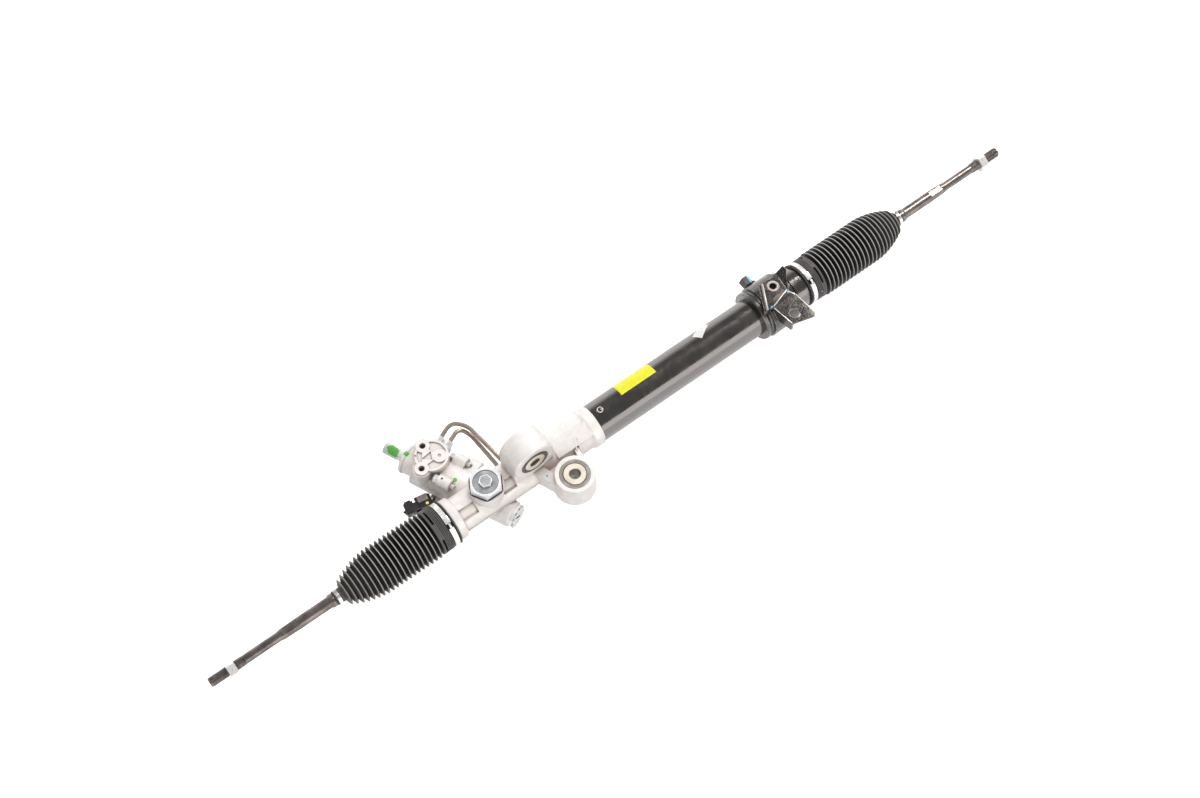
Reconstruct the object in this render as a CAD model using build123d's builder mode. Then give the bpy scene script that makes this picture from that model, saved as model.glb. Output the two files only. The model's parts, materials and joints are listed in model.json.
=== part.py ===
from build123d import *
import os
from math import acos, atan2, cos, degrees, pi, radians, sin, sqrt, tan

# A hydraulic rack-and-pinion steering gear with its inner tie rods, modelled in millimetres.
#
# Part frame: the origin is the middle of the lower bush's bolt hole, which stands along +Z.
# +X runs along the rack towards the power cylinder and +Z is up, along the yoke adjuster.
# Every place below is measured from the rack's own centre line: x from the middle of the rack
# bar, y across it and z above it. The planes made by level(), facing() and across() carry those
# places into the part frame.

# ---- Driving dimensions -------------------------------------------------------------------
MID_X, AXIS_Y, AXIS_Z = 130.5, 52.6, -13.0    # middle of the rack's centre line in the part frame

TRAVEL_LEFT, TRAVEL_RIGHT = 78.0, 66.0   # rack travel from the position modelled, lock to lock
RACK_R = 13.0                  # rack bar radius
RACK_END = 356.5               # end faces of the rack bar
BORE_R = 15.0                  # rack bore through the castings
FIT = 0.06                     # radial running clearance

NORMAL_MODULE = 2.125          # rack and pinion teeth
PINION_TEETH = 7
PINION_X = -226.5              # where the pinion crosses under the rack
PINION_Z = -18.0
PINION_SKEW = 23.8             # degrees between the pinion and a line square to the rack
PRESSURE_ANGLE = 20.0
RACK_ADDENDUM = 1.0
PINION_ADDENDUM = 2.3
BACKLASH = 0.3

BARREL_R = 24.0                # cast barrel
SEAT_R = 26.5                  # bellows seats at both ends
CASE_END = {"left": 284.4, "right": 272.5}   # where each bellows starts
SEAT_TIP = {"left": 298.0, "right": 286.0}   # end faces of the two bellows seats
STOP_X = {"left": 290.2, "right": 278.2}     # faces that stop the inner ball sockets
TUBE_R, TUBE_BORE = 26.0, 22.0  # power cylinder
TUBE_START, TUBE_END = -64.0, 253.5
PISTON_X = 77.0

YOKE_R, YOKE_PLUG_R, NUT_TOP = 15.0, 16.0, 42.0
NUT_SEAT = 33.0                # face under the yoke lock nut

BUSH_R, BUSH_RUBBER_R, BUSH_SLEEVE_R, BOLT_HOLE_R = 19.7, 17.8, 14.2, 7.15
UPPER_BUSH = (-165.0, 50.0)    # x and z of the upper mounting bush, which lies along Y
UPPER_HALF = 18.0              # half the upper boss's length
LOWER_TOP, LOWER_BOTTOM = 30.0, -4.0
LOWER_BUSH = (-MID_X, -AXIS_Y)  # x and y of the lower mounting bush, which stands along Z

BALL_X, BALL_R, SEAT_OUTER_R = 380.0, 11.5, 13.6
SOCKET_R, SOCKET_IN, SOCKET_LIP = 18.0, 358.0, 386.5
BOOT_R, BOOT_VALLEY = 32.0, 5.2              # bellows crests, and the depth of their folds
BOOT_END = {"left": 442.0, "right": 440.0}
FIRST_FOLD = {"left": 306.8, "right": 292.8}
BOOT_FOLDS = {"left": 21, "right": 22}
ROD_R, THREAD_R, ROD_TIP = 7.5, 6.9, 625.5
NUT_THREAD_R, THREAD_START = 6.6, 601.6     # the thread inside the jam nut, and past it
LINE_R = 3.0                   # steel hydraulic lines

# ---- Planes and small helpers --------------------------------------------------------------
RACK_AXIS = Axis((MID_X, AXIS_Y, AXIS_Z), (1, 0, 0))
SKEW = radians(PINION_SKEW)
ALONG_PINION = Vector(-sin(SKEW), cos(SKEW), 0)
BESIDE_PINION = Vector(cos(SKEW), sin(SKEW), 0)
PINION_AXIS = Axis((MID_X + PINION_X, AXIS_Y, AXIS_Z + PINION_Z), ALONG_PINION)


def level(z):
    """A horizontal plane: local x and y are the rack's x and y."""
    return Plane(origin=(MID_X, AXIS_Y, AXIS_Z + z))


def facing(y):
    """An upright plane along the rack that faces -Y: local x and y are the rack's x and z."""
    return Plane(origin=(MID_X, AXIS_Y + y, AXIS_Z), x_dir=(1, 0, 0), z_dir=(0, -1, 0))


def across(x):
    """A plane square to the rack that faces +X: local x and y are the rack's y and z."""
    return Plane(origin=(MID_X + x, AXIS_Y, AXIS_Z), x_dir=(0, 1, 0), z_dir=(1, 0, 0))


def up_pinion(s):
    """A plane square to the pinion, s along it: local x is beside it and local y is down."""
    origin = Vector(MID_X + PINION_X, AXIS_Y, AXIS_Z + PINION_Z) + ALONG_PINION * s
    return Plane(origin=origin, x_dir=BESIDE_PINION, z_dir=ALONG_PINION)



def spun(plane, degrees):
    """The same plane with its x and y turned about its normal."""
    x_dir = plane.x_dir.rotate(Axis((0, 0, 0), plane.z_dir), degrees)
    return Plane(origin=plane.origin, x_dir=x_dir, z_dir=plane.z_dir)


PINION_SECTION = Plane(origin=up_pinion(0).origin, x_dir=ALONG_PINION, z_dir=BESIDE_PINION)


def rack_point(x, y, z):
    return (MID_X + x, AXIS_Y + y, AXIS_Z + z)


def pinion_point(s, beside, above):
    """A point s along the pinion, and beside and above its centre line."""
    origin = up_pinion(s).origin + BESIDE_PINION * beside
    return (origin.X, origin.Y, origin.Z + above)


def turn(outline, plane=facing(0), axis=RACK_AXIS, mode=Mode.ADD):
    """Revolve an outline of (along, radius) points about its axis."""
    with BuildSketch(plane) as profile:
        with BuildLine():
            Polyline(*outline, close=True)
        make_face()
    revolve(profile.sketch, axis=axis, mode=mode)


def turn_pinion(outline, mode=Mode.ADD):
    turn(outline, PINION_SECTION, PINION_AXIS, mode)


def ring(near, far, inner, outer):
    """The (along, radius) outline of a plain ring."""
    return [(near, inner), (near, outer), (far, outer), (far, inner)]


def disc(plane, radius, length, centre=(0, 0), mode=Mode.ADD):
    with BuildSketch(plane) as face:
        with Locations(centre):
            Circle(radius)
    extrude(face.sketch, amount=length, mode=mode)


def hexagon(plane, flats, length, centre=(0, 0), turned=0, mode=Mode.ADD):
    """A hexagonal prism, flats across, with a corner on local x unless it is turned."""
    with BuildSketch(plane) as face:
        with Locations(centre):
            RegularPolygon(flats / 2, 6, major_radius=False, rotation=turned)
    extrude(face.sketch, amount=length, mode=mode)


def finish(builder, label):
    """Name a finished piece and write it as a STEP file."""
    builder.part.label = label
    export_step(builder.part, f"parts/{label}.step")
    print(label, round(builder.part.volume / 1000, 1), "cm3")


os.makedirs("parts", exist_ok=True)

# ---- Pinion housing ------------------------------------------------------------------------
# One aluminium casting: the barrel round the rack, the skewed pinion bore under it, the yoke
# boss on top and the two bush bosses. The cylinder tube slides over its machined spigot.
FLANGE_S, CAP_S = 54.0, -37.0   # ends of the pinion bore, along the pinion
SPIGOT_END = -40.0
upper_x, upper_z = UPPER_BUSH
lower_x, lower_y = LOWER_BUSH
UPPER_BOSS_R, LOWER_BOSS_R, LOWER_BOSS_TOP_R = 29.0, 27.0, 25.0
RIM_RADIUS = 3.0               # rounding of the upper bush boss's rims
FLANGE_BOLTS = [(-13, -24), (25, -16), (-24, 16)]   # beside and below the pinion's line
EAR_R = 8.0


def flange_ears(plane, depth):
    """Ears that carry the three flange bolts, from a plane across the pinion."""
    with BuildSketch(plane) as ears:
        Circle(25)
        for bolt in FLANGE_BOLTS:
            reach = Vector(*bolt)
            with Locations(bolt):
                Circle(EAR_R)
            with Locations((reach.X / 2, reach.Y / 2)):
                Rectangle(reach.length, 2 * EAR_R, rotation=degrees(atan2(reach.Y, reach.X)))
    extrude(ears.sketch, amount=depth)


def barrel_plane(along, angle, distance):
    """A plane that faces away from the rack at an angle from the top towards -Y."""
    return Plane(origin=rack_point(along, *round_barrel(distance, angle)), x_dir=(1, 0, 0),
                 z_dir=(0, -sin(radians(angle)), cos(radians(angle))))


def round_barrel(radius, angle):
    """A point (y, z) on a circle round the rack, in degrees from the top towards -Y."""
    return (-radius * sin(radians(angle)), radius * cos(radians(angle)))


with BuildPart() as pinion_housing:
    # upper bush boss, with its rims rounded by the mould
    disc(facing(-UPPER_HALF), UPPER_BOSS_R, -2 * UPPER_HALF, UPPER_BUSH)
    fillet(pinion_housing.edges().filter_by(GeomType.CIRCLE), RIM_RADIUS)
    seat_tip, case_end = -SEAT_TIP["left"], -CASE_END["left"]
    turn([(seat_tip, 0), (seat_tip, SEAT_R - 1), (seat_tip + 1, SEAT_R), (case_end, SEAT_R),
          (case_end, 27), (case_end + 1, 28), (-274, 28), (-271, BARREL_R), (-80, BARREL_R + 1),
          (-76, 27.5), (TUBE_START, 27.5), (TUBE_START, TUBE_BORE), (SPIGOT_END, TUBE_BORE),
          (SPIGOT_END, 0)])
    # pinion boss: narrow where the cap closes it, wide where the valve housing bolts on
    turn_pinion([(CAP_S, 0), (CAP_S, 16), (CAP_S + 1, 17), (-12, 18), (4, 23), (44, 25),
                 (FLANGE_S, 25), (FLANGE_S, 0)])
    flange_ears(up_pinion(FLANGE_S - 9), 9)
    # cast shoulder beside the flange
    with BuildSketch(up_pinion(30)) as shoulder:
        with Locations((12, -4)):
            Rectangle(24, 22)
        with Locations((29, -4)):
            Circle(11)
        with Locations((24, -4)):
            Rectangle(12, 22)
    extrude(shoulder.sketch, amount=15)
    # yoke boss
    disc(level(0), 22.5, NUT_SEAT, (PINION_X, 0))
    # the block that carries the upper bush boss
    with BuildSketch(facing(RIM_RADIUS - UPPER_HALF)) as upper_block:
        with Locations((upper_x, upper_z / 2)):
            Rectangle(2 * UPPER_BOSS_R, upper_z)
    extrude(upper_block.sketch, amount=2 * RIM_RADIUS - 2 * UPPER_HALF)
    # lower bush boss, tapered upwards, with the web that joins it to the barrel
    with BuildSketch(level(LOWER_BOTTOM)) as lower_foot:
        with Locations((lower_x, lower_y)):
            Circle(LOWER_BOSS_R)
    with BuildSketch(level(LOWER_TOP)) as lower_face:
        with Locations((lower_x, lower_y)):
            Circle(LOWER_BOSS_TOP_R)
    loft(Sketch() + [lower_foot.sketch, lower_face.sketch])
    web = [(upper_x - 2, 0), (upper_x - 2, -20), (lower_x - LOWER_BOSS_R + 2, lower_y + 8),
           (lower_x, lower_y), (lower_x + LOWER_BOSS_R - 3, lower_y + 12), (-104, -18), (-104, 0)]
    with BuildSketch(level(LOWER_BOTTOM + 2)) as web_face:
        with BuildLine():
            Polyline(*web, close=True)
        make_face()
    extrude(web_face.sketch, amount=12)
    # the web's raised left rib, and its thin right gusset
    left_rib = [(upper_x - 2, -8), (upper_x - 2, -20), (lower_x - LOWER_BOSS_R + 2, lower_y + 4),
                (lower_x - LOWER_BOSS_R + 13, lower_y + 9), (upper_x + 10, -14), (upper_x + 10, -8)]
    with BuildSketch(level(LOWER_BOTTOM)) as rib_face:
        with BuildLine():
            Polyline(*left_rib, close=True)
        make_face()
    extrude(rib_face.sketch, amount=25)
    with BuildSketch(level(LOWER_BOTTOM)) as gusset_face:
        with BuildLine():
            Polyline((-107, -16), (-101, -16), (-105, lower_y + 10), (-112, lower_y + 10), close=True)
        make_face()
    extrude(gusset_face.sketch, amount=20)
    # machined flat on the barrel's upper front, and the fin where the mould parts
    with BuildSketch(barrel_plane(-104, 24, BARREL_R + 1.6)) as flat_face:
        Rectangle(54, 21)
    extrude(flat_face.sketch, amount=-8)
    with BuildSketch(level(-0.8)) as fin:
        with Locations((-176, 0)):
            Rectangle(190, 2 * BARREL_R + 2.4)
    extrude(fin.sketch, amount=1.6)
    # pockets cast in the barrel's upper front, beside the yoke boss
    pocket_outline = ([round_barrel(20, angle) for angle in (10, 23, 36, 49)]
                      + [round_barrel(34, 49), round_barrel(34, 10)])
    for pocket_x, pocket_width in ((-272, 22), (-212, 19)):
        with BuildSketch(across(pocket_x)) as pocket:
            with BuildLine():
                Polyline(*pocket_outline, close=True)
            make_face()
        extrude(pocket.sketch, amount=pocket_width, mode=Mode.SUBTRACT)
    # rack bore, open wide at the seat end so that the ball socket can reach its stop
    turn([(seat_tip - 1, 0), (seat_tip - 1, 20), (-STOP_X["left"], 20), (-STOP_X["left"], BORE_R),
          (SPIGOT_END - 16, BORE_R), (SPIGOT_END - 16, 18), (SPIGOT_END + 1, 18),
          (SPIGOT_END + 1, 0)], mode=Mode.SUBTRACT)
    # pinion bore, stepped for the cap, the lower bearing, the teeth, the upper bearing and the valve
    turn_pinion([(CAP_S - 1, 0), (CAP_S - 1, 14), (-30, 14), (-30, 12.5), (-18, 12.5), (-18, 11),
                 (18, 11), (18, 14), (40, 14), (40, 17), (FLANGE_S + 1, 17), (FLANGE_S + 1, 0)],
                mode=Mode.SUBTRACT)
    # yoke bore, threaded at its mouth
    disc(level(0), YOKE_R, NUT_SEAT + 1, (PINION_X, 0), mode=Mode.SUBTRACT)
    disc(level(26), YOKE_PLUG_R, NUT_SEAT, (PINION_X, 0), mode=Mode.SUBTRACT)
    # bush bores
    disc(facing(UPPER_HALF + 1), BUSH_R, 2 * UPPER_HALF + 2, UPPER_BUSH, mode=Mode.SUBTRACT)
    disc(level(LOWER_BOTTOM - 1), BUSH_R, LOWER_TOP - LOWER_BOTTOM + 2, LOWER_BUSH,
         mode=Mode.SUBTRACT)
    # tapped holes in the flange ears
    for bolt in FLANGE_BOLTS:
        disc(up_pinion(FLANGE_S), 3, -16, bolt, mode=Mode.SUBTRACT)
finish(pinion_housing, "pinion_housing")

# ---- Valve housing -------------------------------------------------------------------------
# An aluminium cover over the rotary valve, with a flat port pad on top.
NECK_S, PAD_Z = 121.0, 33.0     # end of the neck, and the pad's height above the pinion line
VALVE_BORE = 16.4
PAD_CENTRE, PAD_R = (83.8, 7.0), 21.5        # along and beside the pinion
PORTS = [(100.2, 12.2), (84.8, -14.5)]       # pressure and return ports, along and beside
PLAIN_BOSS = (75.0, 11.5)
PAD_WEB = [(92.0, -3.5), (87.5, 11.0), (79.5, 2.5)]   # corners of the sunken web on the pad
PAD_DIMPLES = [(75.0, 11.5, 2.2), (101.0, -4.0, 1.6)]  # along, beside and radius
LINE_PORTS = [(94.8, 9.0), (81.9, 9.0)]      # outlets to the cylinder lines, along and above
OUTLET_MOUTH = 35.0            # how far beside the pinion the outlets open
EAR_FACE = FLANGE_S + 8


def over_pinion(along, beside):
    """The place (x, y) on a horizontal plane above a point along and beside the pinion."""
    point = pinion_point(along, beside, 0)
    return (point[0] - MID_X, point[1] - AXIS_Y)


def outlet_plane(along, above, beside):
    """A plane square to a line outlet, facing out of it."""
    return Plane(origin=pinion_point(along, beside, above), x_dir=(0, 0, 1), z_dir=BESIDE_PINION)


with BuildPart() as valve_housing:
    turn_pinion([(FLANGE_S, 0), (FLANGE_S, 25), (100, 25), (104, 18), (NECK_S - 5, 18),
                 (NECK_S - 4, 19.5), (NECK_S - 1, 19.5), (NECK_S, 18.5), (NECK_S, 0)])
    flange_ears(up_pinion(FLANGE_S), EAR_FACE - FLANGE_S)
    # port pad: a round plate with two port bosses and a plain boss, above the valve
    port_places = [over_pinion(*port) for port in PORTS]
    with BuildSketch(level(PINION_Z)) as pad:
        with Locations(over_pinion(*PAD_CENTRE)):
            Circle(PAD_R)
        with Locations(*port_places):
            Circle(11)
    extrude(pad.sketch, amount=PAD_Z)
    boss_places = [*port_places, over_pinion(*PLAIN_BOSS)]
    with BuildSketch(level(PINION_Z + PAD_Z)) as bosses:
        with Locations(over_pinion(*PAD_CENTRE)):
            Circle(PAD_R)
            Circle(PAD_R - 3, mode=Mode.SUBTRACT)
        Polygon(*boss_places, align=None)
        with Locations(*boss_places):
            Circle(9)
        # the sunken web between the bosses
        Polygon(*[over_pinion(*corner) for corner in PAD_WEB], align=None, mode=Mode.SUBTRACT)
    extrude(bosses.sketch, amount=2.5)
    for along, beside, dimple_r in PAD_DIMPLES:
        disc(level(PINION_Z + PAD_Z + 4), dimple_r, -3, over_pinion(along, beside),
             mode=Mode.SUBTRACT)
    # side bosses for the cylinder lines
    for along, above in LINE_PORTS:
        disc(outlet_plane(along, above, 0), 7.5, OUTLET_MOUTH)
    # room for the bolt heads
    for bolt in FLANGE_BOLTS:
        disc(up_pinion(EAR_FACE), 7, 12, bolt, mode=Mode.SUBTRACT)
        disc(up_pinion(FLANGE_S - 1), 3.3, 12, bolt, mode=Mode.SUBTRACT)
    # valve bore, bearing and seal seats
    turn_pinion([(FLANGE_S - 1, 0), (FLANGE_S - 1, VALVE_BORE), (103, VALVE_BORE), (103, 12),
                 (NECK_S + 1, 12), (NECK_S + 1, 0)], mode=Mode.SUBTRACT)
    for port_place in port_places:
        disc(level(PINION_Z + PAD_Z + 3), 4, -13, port_place, mode=Mode.SUBTRACT)
    for along, above in LINE_PORTS:
        disc(outlet_plane(along, above, OUTLET_MOUTH + 1), 5.5, -9, mode=Mode.SUBTRACT)
finish(valve_housing, "valve_housing")

# ---- Power cylinder ------------------------------------------------------------------------
# A steel tube with a port boss welded under each end, closed by the bulkhead.
NEAR_PORT_X, FAR_PORT_X = -26.0, 168.0
PORT_TILT = radians(30)        # the port bosses lean towards the pinion
PORT_LENGTH, MOUTH_LENGTH = 15.0, 5.0


def port_plane(port_x, distance):
    """A plane square to a cylinder port, a distance out along it."""
    away = Vector(-cos(PORT_TILT), 0, -sin(PORT_TILT))
    return Plane(origin=Vector(*rack_point(port_x, 0, -TUBE_BORE - 2)) + away * distance, z_dir=away)


with BuildPart() as cylinder_tube:
    turn(ring(TUBE_START, TUBE_END, 0, TUBE_R))
    for port_x in (NEAR_PORT_X, FAR_PORT_X):
        disc(port_plane(port_x, 0), 8, PORT_LENGTH)
    turn(ring(TUBE_START - 1, TUBE_END + 1, 0, TUBE_BORE), mode=Mode.SUBTRACT)
    for port_x in (NEAR_PORT_X, FAR_PORT_X):
        disc(port_plane(port_x, -6), 1.5, 20, mode=Mode.SUBTRACT)
        disc(port_plane(port_x, PORT_LENGTH - MOUTH_LENGTH), 5.5, MOUTH_LENGTH + 1,
             mode=Mode.SUBTRACT)
    # the dimple that stakes the tube to the spigot
    disc(level(TUBE_R - 1.2), 4.2, 3, (-53, 0), mode=Mode.SUBTRACT)
finish(cylinder_tube, "cylinder_tube")

BULKHEAD_IN, BUSH_START, BUSH_END = 237.0, 247.5, 265.0
with BuildPart() as end_bulkhead:
    seat_tip, stop = SEAT_TIP["right"], STOP_X["right"]
    turn([(BULKHEAD_IN, 18), (BULKHEAD_IN, TUBE_BORE), (TUBE_END, TUBE_BORE), (TUBE_END, 28),
          (TUBE_END + 0.5, 28.5), (268.4, 28.5), (268.9, 28), (268.9, SEAT_R),
          (seat_tip - 1, SEAT_R), (seat_tip, SEAT_R - 1), (seat_tip, 20), (stop, 20),
          (stop, BORE_R), (BUSH_END, BORE_R), (BUSH_END, 18)])
finish(end_bulkhead, "end_bulkhead")

# Seals and the plastic bush that the rack slides in: one seal in the spigot, two rings in the
# bulkhead.
with BuildPart() as inner_rack_seal:
    turn([(SPIGOT_END - 15, RACK_R + FIT), (SPIGOT_END - 15, 18), (SPIGOT_END, 18),
          (SPIGOT_END, RACK_R + 2), (SPIGOT_END - 6, RACK_R + FIT)])
finish(inner_rack_seal, "inner_rack_seal")

with BuildPart() as outer_rack_seal:
    turn([(BULKHEAD_IN, RACK_R + 2), (BULKHEAD_IN, 18), (BUSH_START - 0.5, 18),
          (BUSH_START - 0.5, RACK_R + FIT), (BULKHEAD_IN + 6, RACK_R + FIT)])
finish(outer_rack_seal, "outer_rack_seal")

with BuildPart() as rack_bush:
    turn(ring(BUSH_START, BUSH_END, RACK_R + FIT, 18))
finish(rack_bush, "rack_bush")

# ---- Rack bar with its piston --------------------------------------------------------------
# The teeth are cut square across the bar: the pinion's helix is as steep as its skew.
RACK_PITCH = pi * NORMAL_MODULE
PITCH_R = NORMAL_MODULE * PINION_TEETH / (2 * cos(SKEW))
PINION_TIP_R = PITCH_R + PINION_ADDENDUM
PITCH_LINE_Z = PINION_Z + PITCH_R
TOOTH_TIP_Z = PITCH_LINE_Z - RACK_ADDENDUM
TOOTH_ROOT_Z = PINION_Z + PINION_TIP_R + 0.4
TOOTHED_START, TOOTHED_END = PINION_X - TRAVEL_RIGHT - 18, PINION_X + TRAVEL_LEFT + 18
STUD_R, STUD_LENGTH = 8.0, 20.0

half_space = RACK_PITCH / 4 + BACKLASH / 4
flank_slope = tan(radians(PRESSURE_ANGLE))
space_mouth = half_space + (PITCH_LINE_Z - TOOTH_TIP_Z + 1) * flank_slope
space_root = half_space - (TOOTH_ROOT_Z - PITCH_LINE_Z) * flank_slope

with BuildPart() as rack_bar:
    turn([(-RACK_END, 0), (-RACK_END, RACK_R - 1), (-RACK_END + 1, RACK_R), (RACK_END - 1, RACK_R),
          (RACK_END, RACK_R - 1), (RACK_END, 0)])
    # flat along the tooth tips, then the spaces between the teeth
    with BuildSketch(facing(-RACK_R - 1)) as flat:
        with Locations(((TOOTHED_START + TOOTHED_END) / 2, TOOTH_TIP_Z - 5)):
            Rectangle(TOOTHED_END - TOOTHED_START, 10)
    extrude(flat.sketch, amount=-2 * RACK_R - 2, mode=Mode.SUBTRACT)
    spaces_left = int((PINION_X - TOOTHED_START) / RACK_PITCH)
    spaces_right = int((TOOTHED_END - PINION_X) / RACK_PITCH)
    space_places = [(PINION_X + k * RACK_PITCH, 0) for k in range(-spaces_left, spaces_right + 1)]
    with BuildSketch(facing(-RACK_R - 1)) as spaces:
        with Locations(*space_places):
            Polygon((-space_mouth, TOOTH_TIP_Z - 1), (space_mouth, TOOTH_TIP_Z - 1),
                    (space_root, TOOTH_ROOT_Z), (-space_root, TOOTH_ROOT_Z), align=None)
    extrude(spaces.sketch, amount=-2 * RACK_R - 2, mode=Mode.SUBTRACT)
    # tapped ends for the ball sockets
    for side in (-1, 1):
        disc(across(side * (RACK_END + 1)), STUD_R, -side * (STUD_LENGTH + 3), mode=Mode.SUBTRACT)
finish(rack_bar, "rack_bar")

with BuildPart() as piston:
    turn([(PISTON_X - 9, RACK_R), (PISTON_X - 9, 20), (PISTON_X - 8, 21.4), (PISTON_X - 3, 21.4),
          (PISTON_X - 3, 19), (PISTON_X + 3, 19), (PISTON_X + 3, 21.4), (PISTON_X + 8, 21.4),
          (PISTON_X + 9, 20), (PISTON_X + 9, RACK_R)])
finish(piston, "piston")

with BuildPart() as piston_ring:
    turn(ring(PISTON_X - 2.8, PISTON_X + 2.8, 19, TUBE_BORE - FIT))
finish(piston_ring, "piston_ring")

# ---- Pinion, rotary valve and input shaft --------------------------------------------------
TRANSVERSE = acos(1 / sqrt(1 + (tan(radians(PRESSURE_ANGLE)) / cos(SKEW)) ** 2))
BASE_R = PITCH_R * cos(TRANSVERSE)
PINION_ROOT_R = PITCH_R - RACK_ADDENDUM - 0.5
TOOTH_HALF = 14.0              # half the pinion's toothed length
TWIST = tan(SKEW) / PITCH_R    # helix, in radians per millimetre
UPPER_JOURNAL_R, CUP_R, ROTOR_R, INPUT_R = 9.5, 12.8, 10.0, 7.6
BAR_END_S, INPUT_TIP_S, SPLINE_S = 150.0, 152.0, 131.0


def involute(radius):
    """The involute angle at a radius, in radians."""
    pressure = acos(BASE_R / radius)
    return tan(pressure) - pressure


def tooth_half_angle(radius):
    """Half a pinion tooth's angle at a radius, in radians."""
    at_pitch = (pi * PITCH_R / PINION_TEETH - BACKLASH) / (2 * PITCH_R)
    return at_pitch + involute(PITCH_R) - involute(max(radius, BASE_R))


def pinion_outline():
    """Points round the pinion's teeth; the first tooth points at the rack, along local -y."""
    steps = [PINION_ROOT_R, BASE_R, (BASE_R + PINION_TIP_R) / 2, PINION_TIP_R]
    points = []
    for tooth in range(PINION_TEETH):
        middle = 2 * pi * tooth / PINION_TEETH - pi / 2
        for side, radii in ((-1, steps), (1, reversed(steps))):
            for radius in radii:
                angle = middle + side * tooth_half_angle(radius)
                points.append((radius * cos(angle), radius * sin(angle)))
    return points


with BuildPart() as pinion:
    # the helical teeth are lofted through sections that turn with the helix
    stations = 9
    for station in range(stations):
        s = -TOOTH_HALF + 2 * TOOTH_HALF * station / (stations - 1)
        with BuildSketch(spun(up_pinion(s), degrees(s * TWIST))):
            with BuildLine():
                Polyline(*pinion_outline(), close=True)
            make_face()
    loft(ruled=True)
    # journals, and the cup that carries the valve sleeve and the foot of the input shaft
    turn_pinion([(-36, 0), (-36, 5.5), (-35.5, 6), (-30.5, 6), (-30.5, 7), (-16, 7), (-14, 6),
                 (14, 6), (16, UPPER_JOURNAL_R), (40, UPPER_JOURNAL_R), (44, CUP_R), (61.5, CUP_R),
                 (61.5, 0)])
    turn_pinion(ring(46, 62, 0, 8.3), mode=Mode.SUBTRACT)
    turn_pinion(ring(2, 47, 0, 3.1), mode=Mode.SUBTRACT)
finish(pinion, "pinion")

with BuildPart() as pinion_nut:
    hexagon(up_pinion(-35), 19, 4.5)
    disc(up_pinion(-36), 6, 7, mode=Mode.SUBTRACT)
finish(pinion_nut, "pinion_nut")

# The sleeve is pinned to the pinion's cup; rings in its grooves seal it in the valve bore.
RING_S = [66, 75, 84, 93]
with BuildPart() as valve_sleeve:
    turn_pinion(ring(62, 98, ROTOR_R + FIT, 15.6))
    turn_pinion(ring(61.5, 62, 9, CUP_R))
    for ring_s in RING_S:
        turn_pinion(ring(ring_s - 1, ring_s + 1, 14.2, 17), mode=Mode.SUBTRACT)
    # oil ways between the rings
    for way_s in (70.5, 79.5, 88.5):
        for way in range(3):
            radial = Plane(origin=up_pinion(way_s).origin, x_dir=ALONG_PINION,
                           z_dir=spun(up_pinion(0), 120 * way).x_dir)
            disc(radial, 1.5, 20, mode=Mode.SUBTRACT)
finish(valve_sleeve, "valve_sleeve")

with BuildPart() as valve_rings:
    for ring_s in RING_S:
        turn_pinion(ring(ring_s - 0.95, ring_s + 0.95, 14.2, VALVE_BORE - FIT))
finish(valve_rings, "valve_rings")

with BuildPart() as torsion_bar:
    turn_pinion([(3, 0), (3, 3), (14, 3), (18, 2.4), (SPLINE_S, 2.4), (SPLINE_S + 4, 4),
                 (BAR_END_S, 4), (BAR_END_S, 0)])
finish(torsion_bar, "torsion_bar")

SPLINES = 24
with BuildPart() as input_shaft:
    turn_pinion([(47, 4.3), (47, 8.2), (58, 8.2), (59, 8), (62.4, 8), (62.4, ROTOR_R),
                 (98.5, ROTOR_R), (98.5, INPUT_R), (SPLINE_S - 4, INPUT_R), (SPLINE_S - 4, 6.7),
                 (SPLINE_S, 6.7), (SPLINE_S + 0.5, INPUT_R), (INPUT_TIP_S - 1, INPUT_R),
                 (INPUT_TIP_S, INPUT_R - 1), (INPUT_TIP_S, 4.3)])
    # six milled grooves in the valve rotor
    with BuildSketch(up_pinion(64)) as grooves:
        with PolarLocations(ROTOR_R, 6):
            Rectangle(2, 3)
    extrude(grooves.sketch, amount=32, mode=Mode.SUBTRACT)
    # splines for the steering column's joint, with a pinch-bolt groove across one side
    with BuildSketch(up_pinion(SPLINE_S)) as spline_gaps:
        with PolarLocations(INPUT_R + 0.2, SPLINES):
            RegularPolygon(0.9, 3, rotation=180)
    extrude(spline_gaps.sketch, amount=INPUT_TIP_S - SPLINE_S + 1, mode=Mode.SUBTRACT)
finish(input_shaft, "input_shaft")

# Bearings and seals round the pinion and the input shaft
with BuildPart() as lower_bearing:
    turn_pinion(ring(-29, -18, 11, 12.5))
    turn_pinion(ring(-29, -18, 7 + FIT, 8.6))
    with BuildSketch(PINION_SECTION) as ball_half:
        with Locations((-23.5, 9.8)):
            Circle(1.6)
    revolve(ball_half.sketch, axis=PINION_AXIS)
finish(lower_bearing, "lower_bearing")

with BuildPart() as upper_bearing:
    turn_pinion(ring(20, 32, UPPER_JOURNAL_R + FIT, 14))
finish(upper_bearing, "upper_bearing")

with BuildPart() as pinion_seal:
    turn_pinion([(33, UPPER_JOURNAL_R + FIT), (33, 14), (39, 14), (39, 12.5), (35, 11.5),
                 (35, UPPER_JOURNAL_R + FIT)])
finish(pinion_seal, "pinion_seal")

with BuildPart() as input_bearing:
    turn_pinion(ring(104, 112, INPUT_R + FIT, 12))
finish(input_bearing, "input_bearing")

with BuildPart() as input_seal:
    turn_pinion([(113, INPUT_R + FIT), (113, 12), (NECK_S, 12), (NECK_S, 10.5), (115, 10),
                 (115, INPUT_R + FIT)])
finish(input_seal, "input_seal")

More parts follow.
